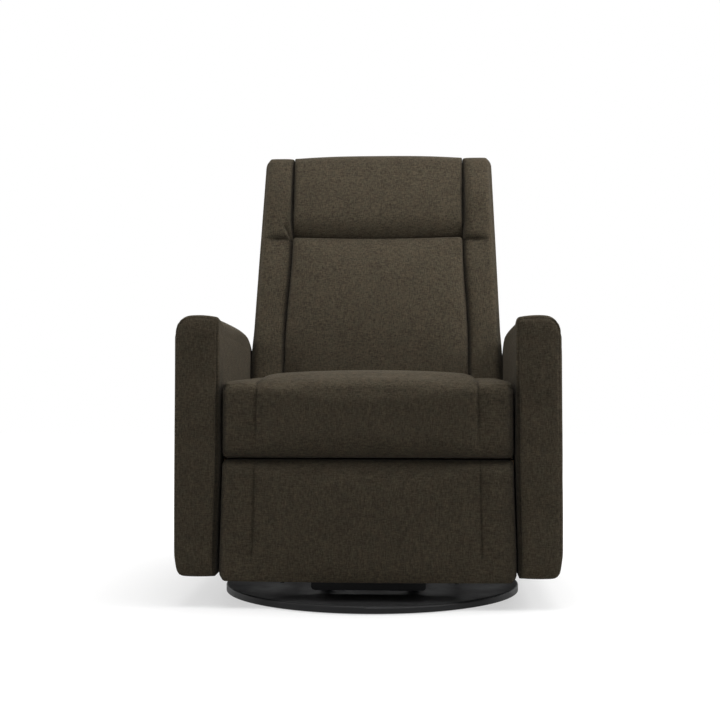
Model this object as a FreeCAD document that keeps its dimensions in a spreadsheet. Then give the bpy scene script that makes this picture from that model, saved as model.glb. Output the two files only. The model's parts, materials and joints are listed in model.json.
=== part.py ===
"""Swivel glider recliner, as a parametric FreeCAD document in millimetres.

The frame: +X to the right seen from the front, +Y to the back, +Z up, with the
origin on the floor under the swivel axis. The chair faces -Y. "left" is the -X side.
"reach" is a distance ahead of the swivel axis, so a reach r lies at y = -r.
"""
import FreeCAD, Part
import math
import os
import Sketcher

OUT_FOLDER = "parts"

# The driving dimensions, in millimetres and degrees. Each becomes a cell of the sheet.
SIZES = {
    # floor base and swivel
    "disc_radius": 314, "disc_thick": 14.5, "disc_edge_radius": 4,
    "disc_lift": 2, "glide_radius": 14, "glide_ring_radius": 285, "glide_ring_count": 6,
    "swivel_plate_side": 190, "swivel_plate_thick": 2.5, "swivel_corner_radius": 14,
    "bearing_gap": 4.5, "ball_radius": 2.4, "race_radius": 62, "ball_count": 16,
    "center_pin_radius": 8, "center_head_radius": 16, "center_head_height": 3,
    "screw_radius": 3, "screw_head_radius": 6, "screw_head_height": 3, "screw_depth": 10,
    "screw_inset": 15,
    # glider base frame
    "beam_width": 30, "beam_height": 20, "beam_reach": 170, "beam_half": 117,
    "beam_end_radius": 8, "bar_center_half_width": 90, "bar_width": 25, "cross_bar_height": 10,
    "side_bar_height": 29, "side_bar_bottom": 33, "upright_inner_half_width": 180,
    "upright_thick": 4, "upright_width": 26, "front_hanger_reach": 130,
    "rear_hanger_depth": 150, "hanger_height": 205,
    # glide links and their pins
    "glide_link_length": 100, "glide_link_width": 24, "glide_link_thick": 5,
    "glide_spacer_length": 4.5, "rail_gap": 0.5, "glide_pin_radius": 6, "glide_head_radius": 9,
    "glide_head_height": 2.8,
    # carrier rails and cross tubes of the chair
    "rail_thick": 5, "rail_height": 50, "rail_reach": 165, "rail_drop": 15,
    "tube_side": 25, "tube_wall": 2, "middle_tube_depth": 40, "rear_tube_depth": 220,
    "flange_thick": 5, "flange_width": 60, "flange_height": 50,
    "frame_bolt_radius": 4, "frame_bolt_head_radius": 7, "frame_bolt_head": 4,
    "frame_bolt_spread": 42,
    # arms
    "seat_inner_width": 590, "arm_thick": 90, "arm_reach": 255, "arm_depth": 360,
    "arm_bottom": 62, "arm_front_height": 578, "arm_top_slope": 4.1,
    "arm_back_radius": 230, "arm_outer_radius": 26, "arm_inner_radius": 8,
    "arm_face_radius": 5, "arm_padding": 12, "arm_frame_web": 12, "arm_frame_rim": 22,
    # seat
    "seat_rail_thick": 24, "front_rail_gap": 11, "front_rail_width": 70,
    "rear_rail_depth": 100, "rear_rail_width": 35, "seat_reach": 262,
    "seat_side_gap": 3.5, "seat_side_height": 454, "seat_crown_rise": 19,
    "seat_seam_half_width": 221.5, "seat_back_depth": 142, "seat_back_slant_depth": 50,
    "seat_edge_radius": 22, "seat_front_radius": 34,
    # sinuous springs
    "spring_wire_radius": 1.8, "spring_pitch": 23, "spring_half_width": 22,
    "seat_spring_count": 5, "back_spring_count": 4, "spring_spacing": 96,
    "clip_length": 22, "clip_width": 30, "clip_height": 5.4, "clip_center_height": 2.7,
    # recliner side plates
    "plate_inner_half_width": 251, "plate_thick": 5, "plate_front_depth": 97, "plate_rise": 18,
    "plate_nose_drop": 16, "plate_lift_drop": 20, "plate_lift_margin": 18,
    "plate_web_length": 80, "plate_web_drop": 30,
    "hinge_depth": 215, "hinge_height": 235, "hinge_pin_radius": 6, "hinge_boss_radius": 26,
    # footrest linkage: pivots at rest, each by its depth behind the seat's front and height
    "lift_depth": 160.1, "lift_height": 222.75, "control_depth": 114.42,
    "control_height": 250.09, "elbow_depth": 255.94, "elbow_height": 121.53,
    "cross_depth": 209.65, "cross_height": 147.66, "knee_depth": 250.72,
    "knee_height": 103.49, "pad_pivot_depth": 76.74, "pad_pivot_height": 222.68,
    "slot_depth": 103.12, "slot_height": 147.19, "slot_length": 11.5, "slot_angle": 243.4,
    "slot_play": 1.0, "cross_play": 1.0,
    "link_width": 20, "link_thick": 4.5, "layer_gap": 0.5, "stud_radius": 4.5,
    "stud_head_radius": 8, "stud_head": 2.3,
    # footrest panel
    "footrest_bottom": 54, "footrest_top": 296, "footrest_thick": 61,
    "footrest_board_thick": 12, "footrest_board_inset": 8, "footrest_edge_radius": 10,
    "bracket_foot_width": 20, "bracket_foot_thick": 3.5, "bracket_foot_bottom": 128,
    "bracket_foot_top": 242, "bracket_eye_radius": 13, "bracket_knuckle_width": 19,
    "board_screw_radius": 2.5, "board_screw_head": 2.5, "board_screw_head_radius": 5,
    "board_screw_inset": 6, "board_screw_spread": 44, "board_screw_grip": 9,
    # back
    "back_lean": 16, "back_front": 73, "pad_rear_depth": 12, "back_panel_front": 50,
    "back_panel_thick": 17, "back_bottom": 10, "lumbar_bottom": 20, "bolster_bottom_height": 38,
    "bolster_top_height": 759, "headrest_top_height": 769, "headrest_seam_height": 550,
    "headrest_proud_depth": 6, "seam_half_top": 203, "seam_half_bottom": 214,
    "bolster_half": 289, "bolster_half_top": 272, "bolster_taper_start": 296,
    "bolster_corner_radius": 22, "back_edge_radius": 16, "soft_seam": 0.3,
    "post_width": 30, "post_front": 12, "post_thick": 36, "post_bottom": 15,
    "post_top": 690, "post_cover": 5, "back_rail_height": 40, "back_rail_thick": 26,
    "back_lower_rail": 60, "back_upper_rail": 645, "back_panel_inset": 4,
    "back_bracket_top": 260, "back_bracket_width": 34, "back_bracket_eye_radius": 14,
    "back_bracket_step": 20, "back_bracket_gap": 6,
    # rear apron
    "apron_depth": 288, "apron_thick": 15, "apron_bottom": 72, "apron_top": 207,
    # release handle in the outer side of the left arm
    "bezel_reach": 20, "bezel_height": 425, "bezel_length": 150, "bezel_tall": 66,
    "bezel_lip": 7, "bezel_lip_thick": 2, "bezel_sink": 20, "bezel_wall": 6,
    "bezel_floor": 3, "handle_tall": 22, "handle_thick": 4, "handle_barrel_radius": 3,
    "handle_pin_radius": 1.5, "handle_side_gap": 1.0, "handle_pin_reach": 3,
    "handle_face_inset": 2, "handle_top_gap": 1,
    # release cable, from the handle's cup to the side plate
    "cable_radius": 2.5, "cable_down_half_width": 369, "cable_bend_radius": 40, "cable_height": 235,
    "cable_reach": 20, "ferrule_radius": 4, "ferrule_length": 12,
    # clearances
    "bore_play": 0.05, "bolt_play": 0.1, "soft_gap": 0.3,
}


class Size:
    """A number, together with the sheet expression that gives it."""

    def __init__(self, number, text):
        self.number = float(number)
        self.text = text

    def __add__(self, other):
        other = size_of(other)
        return Size(self.number + other.number, f"({self.text} + {other.text})")

    def __radd__(self, other):
        return size_of(other) + self

    def __sub__(self, other):
        other = size_of(other)
        return Size(self.number - other.number, f"({self.text} - {other.text})")

    def __rsub__(self, other):
        return size_of(other) - self

    def __mul__(self, other):
        other = size_of(other)
        return Size(self.number * other.number, f"({self.text} * {other.text})")

    def __rmul__(self, other):
        return self * other

    def __truediv__(self, other):
        other = size_of(other)
        return Size(self.number / other.number, f"({self.text} / {other.text})")

    def __neg__(self):
        return Size(-self.number, f"(0 - {self.text})")


def size_of(value):
    """A Size for a plain number; a Size stays as it is."""
    if isinstance(value, Size):
        return value
    return Size(value, f"({float(value)!r})")


def cosine(angle):
    return Size(math.cos(math.radians(angle.number)), f"cos({angle.text} * 1 deg)")


def sine(angle):
    return Size(math.sin(math.radians(angle.number)), f"sin({angle.text} * 1 deg)")


def distance(start, end):
    """The distance between two points given as pairs of sizes."""
    across = size_of(end[0]) - start[0]
    up = size_of(end[1]) - start[1]
    number = math.hypot(across.number, up.number)
    return Size(number, f"sqrt(pow({across.text}; 2) + pow({up.text}; 2))")


def direction(start, end):
    """The angle in degrees of the line from start to end, from the first axis."""
    across = size_of(end[0]) - start[0]
    up = size_of(end[1]) - start[1]
    number = math.degrees(math.atan2(up.number, across.number))
    return Size(number, f"(atan2({up.text}; {across.text}) / 1 deg)")


class Sheet:
    """The spreadsheet of driving dimensions: sheet.name gives that size."""

    def __init__(self, document, sizes):
        cells = document.addObject("Spreadsheet::Sheet", "Sizes")
        for row, (name, number) in enumerate(sizes.items(), start=1):
            cells.set(f"A{row}", name)
            cells.set(f"B{row}", str(number))
            cells.setAlias(f"B{row}", name)
            setattr(self, name, Size(number, f"Sizes.{name}"))


doc = FreeCAD.newDocument("swivel_glider_recliner")
d = Sheet(doc, SIZES)
doc.recompute()

SIDES = {"left": -1, "right": 1}
LEFT = -1
PAST = 1  # how far a cutter runs past the piece it cuts
nodes = []


# ---------------------------------------------------------------- helpers

def bind(thing, prop, value):
    """Set a property from a size, and tie it to the sheet."""
    value = size_of(value)
    thing.setExpression(prop, value.text)


def place(thing, x=0, y=0, z=0, axis=(0, 0, 1), angle=0):
    """Tie a thing's place, and its turn about an axis, to the sheet."""
    spot = "; ".join(size_of(value).text for value in (x, y, z))
    spin = "; ".join(str(value) for value in axis)
    turn = f"rotation(vector({spin}); {size_of(angle).text})"
    thing.setExpression("Placement", f"placement(vector({spot}); {turn})")


def node(thing, label):
    """Keep a finished sub-part under its label, which names its file."""
    thing.Label = label
    if thing.Label != label:
        raise RuntimeError(f"the label {label} is taken")
    nodes.append(thing)
    return thing


def helper(kind, label):
    return doc.addObject(kind, label)


def block(label, x, y, z):
    """A box between low and high values along each axis."""
    box = helper("Part::Box", label)
    for prop, (low, high) in (("Length", x), ("Width", y), ("Height", z)):
        bind(box, prop, size_of(high) - low)
    place(box, x[0], y[0], z[0])
    return box


def post(label, x, y, z_low, z_high, radius):
    """An upright cylinder."""
    cylinder = helper("Part::Cylinder", label)
    bind(cylinder, "Radius", radius)
    bind(cylinder, "Height", size_of(z_high) - z_low)
    place(cylinder, x, y, z_low)
    return cylinder


def rod(label, x_low, x_high, y, z, radius):
    """A cylinder along X."""
    cylinder = helper("Part::Cylinder", label)
    bind(cylinder, "Radius", radius)
    bind(cylinder, "Height", size_of(x_high) - x_low)
    place(cylinder, x_low, y, z, axis=(0, 1, 0), angle=90)
    return cylinder


def fuse(label, pieces):
    """One solid, or one cutter, from several pieces."""
    if len(pieces) == 1:
        return pieces[0]
    joined = helper("Part::MultiFuse", label)
    joined.Shapes = pieces
    return joined


def cut(label, base, tool):
    rest = helper("Part::Cut", label)
    rest.Base = base
    rest.Tool = tool
    return rest


def group(label, pieces):
    """Separate solids that share one node."""
    together = helper("Part::Compound", label)
    together.Links = pieces
    return together


def span(side, inner, thick):
    """Low and high x of a piece whose inner face is at inner on one side."""
    if side > 0:
        return size_of(inner), size_of(inner) + thick
    return -(size_of(inner) + thick), -size_of(inner)


def outline(body, plane, points):
    """A sketch of one closed outline, with its corners tied to the sheet."""
    sketch = body.newObject("Sketcher::SketchObject", body.Label + "_outline")
    origin_planes = body.Origin.OriginFeatures
    support = next(item for item in origin_planes if item.Role == plane + "_Plane")
    sketch.AttachmentSupport = [(support, "")]
    sketch.MapMode = "FlatFace"
    points = [(size_of(across), size_of(up)) for across, up in points]
    corners = [FreeCAD.Vector(across.number, up.number, 0) for across, up in points]
    for start, end in zip(corners, corners[1:] + corners[:1]):
        sketch.addGeometry(Part.LineSegment(start, end), False)
    for index in range(len(points)):
        following = (index + 1) % len(points)
        sketch.addConstraint(Sketcher.Constraint("Coincident", index, 2, following, 1))
    for index, corner in enumerate(points):
        for kind, value in zip(("DistanceX", "DistanceY"), corner):
            link = Sketcher.Constraint(kind, -1, 1, index, 1, value.number)
            number = sketch.addConstraint(link)
            sketch.setExpression(f"Constraints[{number}]", value.text)
    return sketch


def pad(body, plane, points, length, offset=0):
    """Pad an outline along its plane's normal: YZ to +X, XY to +Z, XZ to -Y."""
    sketch = outline(body, plane, points)
    bind(sketch, "AttachmentOffset.Base.z", offset)
    solid = body.newObject("PartDesign::Pad", body.Label + "_pad")
    solid.Profile = sketch
    bind(solid, "Length", length)
    doc.recompute()
    return solid


def body(label):
    return helper("PartDesign::Body", label)


def prism(label, plane, points, length):
    """A body that is one padded outline."""
    solid = body(label)
    pad(solid, plane, points, length)
    return solid


def middle(edge):
    first, last = edge.ParameterRange
    return edge.valueAt((first + last) / 2)


def runs_along(edge, axis):
    """True for a straight edge along X, Y or Z."""
    if not isinstance(edge.Curve, (Part.Line, Part.LineSegment)):
        return False
    way = edge.tangentAt(edge.FirstParameter)
    return abs(getattr(way, axis)) > 1 - 1e-6


def round_edges(solid, choose, radius):
    """Fillet the edges of a body's tip that choose(edge) accepts."""
    base = solid.Tip
    names = [f"Edge{number}" for number, edge in enumerate(base.Shape.Edges, start=1)
             if choose(edge)]
    if not names:
        raise RuntimeError(f"{solid.Label} has no edge to round")
    fillet = solid.newObject("PartDesign::Fillet", solid.Label + "_fillet")
    fillet.Base = (base, names)
    bind(fillet, "Radius", radius)
    doc.recompute()
    return fillet


def near(value, target):
    return abs(value - size_of(target).number) < 1e-3


def stadium(label, x, start, end, width):
    """A flat bar along X-thickness x with round ends about start and end (y, z)."""
    low, high = x
    radius = size_of(width) / 2
    length = distance(start, end)
    bar = helper("Part::Box", label + "_bar")
    bind(bar, "Length", high - low)
    bind(bar, "Width", length)
    bind(bar, "Height", width)
    angle = direction(start, end)
    drop_y = radius * sine(angle)
    drop_z = radius * cosine(angle)
    place(bar, low, start[0] + drop_y, start[1] - drop_z, axis=(1, 0, 0), angle=angle)
    ends = [rod(label + "_end", low, high, spot[0], spot[1], radius) for spot in (start, end)]
    return fuse(label, [bar] + ends)


def holes(label, x, spots, radius):
    """Cutters along X through the range x at each (y, z)."""
    low, high = x
    cutters = [rod(label, low - PAST, high + PAST, y, z, radius) for y, z in spots]
    return fuse(label + "_cutters", cutters)


# ------------------------------------------------------- derived heights and places

disc_top = d.disc_lift + d.disc_thick
lower_plate_top = disc_top + d.swivel_plate_thick
upper_plate_bottom = lower_plate_top + d.bearing_gap
upper_plate_top = upper_plate_bottom + d.swivel_plate_thick
beam_top = upper_plate_top + d.beam_height
hanger_spots = {"front": -d.front_hanger_reach, "rear": d.rear_hanger_depth}
rocker_height = d.hanger_height - d.glide_link_length
upright_outer = d.upright_inner_half_width + d.upright_thick
glide_link_inner = upright_outer + d.glide_spacer_length
glide_link_outer = glide_link_inner + d.glide_link_thick
rail_inner = glide_link_outer + d.rail_gap
rail_outer = rail_inner + d.rail_thick
rail_bottom = rocker_height - d.rail_drop
rail_top = rail_bottom + d.rail_height
tube_top = rail_top + d.tube_side
rear_tube_end = d.rear_tube_depth + d.tube_side
inner_half = d.seat_inner_width / 2
outer_half = inner_half + d.arm_thick
plate_top = d.control_height + d.plate_rise
plate_front = d.plate_front_depth - d.seat_reach
seat_rail_top = plate_top + d.seat_rail_thick
seat_bottom = seat_rail_top + d.clip_height + d.soft_gap
seat_half = inner_half - d.seat_side_gap
seat_crown_height = d.seat_side_height + d.seat_crown_rise
rear_rail_end = d.rear_rail_depth + d.rear_rail_width
footrest_back_reach = d.seat_reach - d.footrest_thick
front_rail_start = d.front_rail_gap - footrest_back_reach
front_rail_end = front_rail_start + d.front_rail_width
board_front_reach = footrest_back_reach + d.footrest_board_thick
bracket_outer = d.plate_inner_half_width - d.layer_gap
post_outer = bracket_outer - d.link_thick


def layer_faces(number):
    """Inner and outer distance from the middle of a link layer.

    Layer 1 lies next to the side plate, and each further one nearer the middle.
    """
    outer = d.plate_inner_half_width - d.layer_gap - (number - 1) * (d.link_thick + d.layer_gap)
    return outer - d.link_thick, outer


def layer(side, number):
    """Low and high x of a link layer on one side."""
    return span(side, layer_faces(number)[0], d.link_thick)


def pivot(depth, height):
    """A pivot of the footrest linkage, given from the seat's front, as (y, z)."""
    return (depth - d.seat_reach, height)


lift = pivot(d.lift_depth, d.lift_height)
control = pivot(d.control_depth, d.control_height)
elbow = pivot(d.elbow_depth, d.elbow_height)
cross = pivot(d.cross_depth, d.cross_height)
knee = pivot(d.knee_depth, d.knee_height)
pad_pivot = pivot(d.pad_pivot_depth, d.pad_pivot_height)
slot_top = pivot(d.slot_depth, d.slot_height)
slot_end = (slot_top[0] - d.slot_length * cosine(d.slot_angle),
            slot_top[1] + d.slot_length * sine(d.slot_angle))
hinge = (d.hinge_depth, d.hinge_height)
cable_spot = (-d.cable_reach, d.cable_height)


# ---------------------------------------------------------------- floor base and swivel

def floor_glides():
    """Pads on a ring and one under the centre, glued to the underside of the disc."""
    feet = [post("glide", 0, 0, 0, d.disc_lift, d.glide_radius)]
    count = int(d.glide_ring_count.number)
    for turn in range(count):
        angle = 2 * math.pi * turn / count
        x = d.glide_ring_radius * math.cos(angle)
        y = d.glide_ring_radius * math.sin(angle)
        feet.append(post("glide", x, y, 0, d.disc_lift, d.glide_radius))
    return node(group("glides", feet), "floor_glides")


def screw_spots():
    """The four corners of the swivel's lower plate."""
    offset = d.swivel_plate_side / 2 - d.screw_inset
    return [(offset * across, offset * along) for across in (-1, 1) for along in (-1, 1)]


def base_disc():
    """Lacquered wooden disc with a rounded rim and the swivel's screw holes."""
    disc = body("disc")
    sketch = disc.newObject("Sketcher::SketchObject", "disc_rim")
    support = next(item for item in disc.Origin.OriginFeatures if item.Role == "XY_Plane")
    sketch.AttachmentSupport = [(support, "")]
    sketch.MapMode = "FlatFace"
    rim = Part.Circle(FreeCAD.Vector(0, 0, 0), FreeCAD.Vector(0, 0, 1), d.disc_radius.number)
    sketch.addGeometry(rim, False)
    sketch.addConstraint(Sketcher.Constraint("Coincident", 0, 3, -1, 1))
    radius = sketch.addConstraint(Sketcher.Constraint("Radius", 0, d.disc_radius.number))
    sketch.setExpression(f"Constraints[{radius}]", d.disc_radius.text)
    plate = disc.newObject("PartDesign::Pad", "disc_plate")
    plate.Profile = sketch
    bind(plate, "Length", d.disc_thick)
    doc.recompute()
    round_edges(disc, lambda edge: near(middle(edge).z, d.disc_thick), d.disc_edge_radius)
    place(disc, z=d.disc_lift)
    screw_tip = disc_top - d.screw_depth
    cutters = [post("screw_hole", x, y, screw_tip, disc_top + PAST,
                    d.screw_radius + d.bolt_play) for x, y in screw_spots()]
    return node(cut("disc_bored", disc, fuse("disc_tools", cutters)), "base_disc")


def swivel_plate(label, low, bore, screws):
    """Square plate with rounded corners, a ball race and its holes."""
    half = d.swivel_plate_side / 2
    corners = [(-half, -half), (half, -half), (half, half), (-half, half)]
    plate = prism(label + "_sheet", "XY", corners, d.swivel_plate_thick)
    round_edges(plate, lambda edge: runs_along(edge, "z"), d.swivel_corner_radius)
    place(plate, z=low)
    race = helper("Part::Torus", label + "_race")
    bind(race, "Radius1", d.race_radius)
    bind(race, "Radius2", d.ball_radius + d.bore_play)
    place(race, z=lower_plate_top + d.bearing_gap / 2)
    tools = [race]
    through = (low - PAST, low + d.swivel_plate_thick + PAST)
    if bore:
        tools.append(post("bore", 0, 0, *through, d.center_pin_radius + d.bore_play))
    if screws:
        radius = d.screw_radius + d.bolt_play
        tools += [post("hole", x, y, *through, radius) for x, y in screw_spots()]
    return node(cut(label + "_cut", plate, fuse(label + "_tools", tools)), label)


def swivel():
    swivel_plate("swivel_lower_plate", disc_top, bore=False, screws=True)
    swivel_plate("swivel_upper_plate", upper_plate_bottom, bore=True, screws=False)
    ball_count = int(d.ball_count.number)
    balls = []
    for turn in range(ball_count):
        ball = helper("Part::Sphere", "ball")
        bind(ball, "Radius", d.ball_radius)
        angle = 2 * math.pi * turn / ball_count
        x = d.race_radius * math.cos(angle)
        y = d.race_radius * math.sin(angle)
        place(ball, x, y, lower_plate_top + d.bearing_gap / 2)
        balls.append(ball)
    node(group("balls", balls), "swivel_bearing_balls")
    head_bottom = upper_plate_top + d.bore_play
    shaft = post("shaft", 0, 0, lower_plate_top, head_bottom, d.center_pin_radius)
    head = post("head", 0, 0, head_bottom, head_bottom + d.center_head_height,
                d.center_head_radius)
    node(fuse("center_pin", [shaft, head]), "swivel_center_pin")
    screws = []
    for x, y in screw_spots():
        shank = post("shank", x, y, disc_top - d.screw_depth, lower_plate_top, d.screw_radius)
        head_top = lower_plate_top + d.screw_head_height
        cap = post("cap", x, y, lower_plate_top, head_top, d.screw_head_radius)
        screws.append(fuse("screw", [shank, cap]))
    node(group("screws", screws), "base_plate_screws")


# ---------------------------------------------------------------- glider base frame

def glider_beam(label, center):
    """Cross beam with rounded ends, front or rear."""
    points = [(-d.beam_half, upper_plate_top), (d.beam_half, upper_plate_top),
              (d.beam_half, beam_top), (-d.beam_half, beam_top)]
    beam = prism(label, "XZ", points, d.beam_width)
    round_edges(beam, lambda edge: runs_along(edge, "y"), d.beam_end_radius)
    place(beam, y=center + d.beam_width / 2)
    return node(beam, label)


def glider_frame():
    glider_beam("glider_front_beam", -d.beam_reach)
    glider_beam("glider_rear_beam", d.beam_reach)
    bar_end = d.beam_reach - d.beam_width / 2
    bars = []
    uprights = []
    side_bars = []
    pins = []
    cross_bars = []
    for side in SIDES.values():
        x = span(side, d.bar_center_half_width - d.bar_width / 2, d.bar_width)
        bars.append(block("bar", x, (-bar_end, bar_end), (upper_plate_top, beam_top)))
        strip = span(side, d.upright_inner_half_width - d.upright_thick, d.upright_thick)
        reach = d.front_hanger_reach + d.upright_width / 2
        depth = d.rear_hanger_depth + d.upright_width / 2
        strip_top = d.side_bar_bottom + d.side_bar_height
        side_bars.append(block("side_bar", strip, (-reach, depth), (d.side_bar_bottom, strip_top)))
        for y in hanger_spots.values():
            uprights.append(hanger_upright(side, y))
            pins.append(hanger_pin(side, y))
    inner = d.upright_inner_half_width - d.upright_thick
    for y in hanger_spots.values():
        half = d.upright_width / 2
        cross_bars.append(block("cross_bar", (-inner, inner), (y - half, y + half),
                                (beam_top, beam_top + d.cross_bar_height)))
    node(group("bars", bars), "glider_base_bars")
    node(group("cross_bars", cross_bars), "glider_cross_bars")
    node(group("side_bars", side_bars), "glider_side_bars")
    node(group("uprights", uprights), "glider_uprights")
    node(group("upper_pins", pins), "glider_upper_pins")


def hanger_upright(side, y):
    """Upright with a round top that carries one glide link."""
    x = span(side, d.upright_inner_half_width, d.upright_thick)
    half = d.upright_width / 2
    foot = block("foot", x, (y - half, y + half), (d.side_bar_bottom, d.hanger_height))
    crown = rod("crown", x[0], x[1], y, d.hanger_height, half)
    bore = holes("bore", x, [(y, d.hanger_height)], d.glide_pin_radius + d.bore_play)
    return cut("upright", fuse("upright_plate", [foot, crown]), bore)


def headed_pin(x_inner, x_outer, side, spot_yz, radius, heads):
    """A pin along X on one side; heads lists (x from, x to, radius) collars."""
    y, z = spot_yz
    low, high = span(side, x_inner, size_of(x_outer) - x_inner)
    pieces = [rod("shaft", low, high, y, z, radius)]
    for start, end, head_radius in heads:
        low, high = span(side, start, size_of(end) - start)
        pieces.append(rod("head", low, high, y, z, head_radius))
    return fuse("pin", pieces)


def hanger_pin(side, y):
    """Upper pin: head inside the upright, spacer, link, and a head outside the link."""
    inner_head = d.upright_inner_half_width - d.glide_head_height
    outer_head = glide_link_outer + d.bore_play
    heads = [(inner_head, d.upright_inner_half_width, d.glide_head_radius),
             (upright_outer, glide_link_inner - d.bore_play, d.glide_head_radius),
             (outer_head, outer_head + d.glide_head_height, d.glide_head_radius)]
    end = outer_head + d.glide_head_height
    return headed_pin(inner_head, end, side, (y, d.hanger_height), d.glide_pin_radius, heads)


def glide_links():
    """Four links that the chair hangs from; the front pair and the rear pair."""
    for place_name, y in hanger_spots.items():
        links = []
        for side in SIDES.values():
            x = span(side, glide_link_inner, d.glide_link_thick)
            top = (y, d.hanger_height)
            bottom = (y, rocker_height)
            bar = stadium("link", x, bottom, top, d.glide_link_width)
            bores = holes("bores", x, [top, bottom], d.glide_pin_radius + d.bore_play)
            links.append(cut("glide_link", bar, bores))
        label = f"glide_links_{place_name}"
        node(group(label, links), label)


# ---------------------------------------------------------------- chair frame

def mechanism_rails():
    """Rails that hang on the links and carry the cross tubes."""
    for name, side in SIDES.items():
        x = span(side, rail_inner, d.rail_thick)
        bar = block("rail", x, (-d.rail_reach, rear_tube_end), (rail_bottom, rail_top))
        spots = [(y, rocker_height) for y in hanger_spots.values()]
        bores = holes("rail_bores", x, spots, d.glide_pin_radius + d.bolt_play)
        node(cut("rail", bar, bores), f"mechanism_rail_{name}")
    pins = []
    for side in SIDES.values():
        for y in hanger_spots.values():
            inner = glide_link_inner - d.bore_play
            start = inner - d.glide_head_height
            end = rail_outer + d.glide_head_height
            heads = [(start, inner, d.glide_head_radius), (rail_outer, end, d.glide_head_radius)]
            spot_yz = (y, rocker_height)
            pins.append(headed_pin(start, end, side, spot_yz, d.glide_pin_radius, heads))
    node(group("lower_pins", pins), "glider_lower_pins")


def tube_center(depth):
    """Middle of a cross tube's square section, as (y, z)."""
    return (depth + d.tube_side / 2, rail_top + d.tube_side / 2)


def bolt_spots():
    """The (y, z) of every bolt that holds a cross tube to an arm."""
    spots = []
    for depth in (d.middle_tube_depth, d.rear_tube_depth):
        y, z = tube_center(depth)
        spots += [(y - d.frame_bolt_spread / 2, z), (y + d.frame_bolt_spread / 2, z)]
    return spots


def cross_tubes():
    """Square steel tubes on the rails, with a bolted flange at each arm."""
    for name, depth in (("middle", d.middle_tube_depth), ("rear", d.rear_tube_depth)):
        end = inner_half - d.flange_thick
        y = (depth, depth + d.tube_side)
        z = (rail_top, tube_top)
        outer = block("tube_outer", (-end, end), y, z)
        bore_y = (y[0] + d.tube_wall, y[1] - d.tube_wall)
        bore_z = (z[0] + d.tube_wall, z[1] - d.tube_wall)
        hollow = block("tube_hollow", (-end, end), bore_y, bore_z)
        flanges = []
        center_y, center_z = tube_center(depth)
        for side in SIDES.values():
            x = span(side, end, d.flange_thick)
            half_w = d.flange_width / 2
            half_h = d.flange_height / 2
            plate = block("flange", x, (center_y - half_w, center_y + half_w),
                          (center_z - half_h, center_z + half_h))
            spread = d.frame_bolt_spread / 2
            spots = [(center_y - spread, center_z), (center_y + spread, center_z)]
            bores = holes("flange_bores", x, spots, d.frame_bolt_radius + d.bolt_play)
            flanges.append(cut("flange", plate, bores))
        tube = cut("tube", outer, hollow)
        node(fuse(f"{name}_tube", [tube] + flanges), f"{name}_cross_tube")


def frame_bolts():
    """Bolts through the flanges into the arm frames."""
    bolts = []
    for side in SIDES.values():
        for spot_yz in bolt_spots():
            start = inner_half - d.flange_thick - d.frame_bolt_head
            tip = inner_half + d.arm_padding + d.soft_gap + d.arm_frame_web
            heads = [(start, start + d.frame_bolt_head, d.frame_bolt_head_radius)]
            bolts.append(headed_pin(start, tip, side, spot_yz, d.frame_bolt_radius, heads))
    node(group("bolts", bolts), "chair_frame_bolts")


def arm_outline(inset, bottom):
    """Side profile of an arm, inset evenly at the front, top and back."""
    front = inset - d.arm_reach
    back = d.arm_depth - inset
    slope = sine(d.arm_top_slope) / cosine(d.arm_top_slope)
    top_drop = inset / cosine(d.arm_top_slope)
    front_top = d.arm_front_height - inset * slope - top_drop
    back_top = d.arm_front_height - (d.arm_reach + d.arm_depth - inset) * slope - top_drop
    return [(front, bottom), (back, bottom), (back, back_top), (front, front_top)]


def arm_block(label, side, x_inner, thick, inset, bottom):
    """A slab with the arm's side profile and its large rounded back corner."""
    inset = size_of(inset)
    points = arm_outline(inset, bottom)
    slab = prism(label, "YZ", points, thick)
    back, back_top = points[2]

    def is_back_corner(edge):
        spot_xyz = middle(edge)
        return runs_along(edge, "x") and near(spot_xyz.y, back) and near(spot_xyz.z, back_top)

    round_edges(slab, is_back_corner, d.arm_back_radius - inset)
    place(slab, x=span(side, x_inner, thick)[0])
    return slab


def arm_skin(name, side):
    """The padded outside of an arm, rounded all round."""
    slab = arm_block(f"arm_skin_{name}", side, inner_half, d.arm_thick, 0, d.arm_bottom)
    outer_x = d.arm_thick if side > 0 else size_of(0)
    inner_x = size_of(0) if side > 0 else d.arm_thick
    front = -d.arm_reach
    low = d.arm_bottom

    def on_face(edge, x):
        return near(middle(edge).x, x) and not near(middle(edge).y, front) \
            and not near(middle(edge).z, low)

    round_edges(slab, lambda edge: on_face(edge, outer_x), d.arm_outer_radius)
    round_edges(slab, lambda edge: on_face(edge, inner_x), d.arm_inner_radius)

    def on_front(edge):
        return near(middle(edge).y, front)

    round_edges(slab, on_front, d.arm_face_radius)
    return slab


def arms():
    """Upholstered arms, hollow and open below, each over a wooden box frame."""
    for name, side in SIDES.items():
        hollow_width = d.arm_thick - 2 * d.arm_padding
        hollow_inner = inner_half + d.arm_padding
        below = d.arm_bottom - PAST
        hollow = arm_block(f"arm_hollow_{name}", side, hollow_inner, hollow_width,
                           d.arm_padding, below)
        tools = [hollow, bolt_cutters(side)]
        if side == LEFT:
            tools.append(bezel_cutter())
        cover = cut(f"arm_cover_{name}", arm_skin(name, side), fuse("arm_tools", tools))
        node(cover, f"arm_{name}")
        arm_frame(name, side)


def bolt_cutters(side):
    """Bores through an arm's inner wall and web: its bolts, and the cable on the left."""
    x = span(side, inner_half, d.arm_padding + d.soft_gap + d.arm_frame_web)
    bolts = holes("arm_bolt_bores", x, bolt_spots(), d.frame_bolt_radius + d.bolt_play)
    if side != LEFT:
        return bolts
    radius = d.cable_radius + d.soft_gap
    return fuse("arm_bores", [bolts, holes("cable_bore", x, [cable_spot], radius)])


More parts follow.
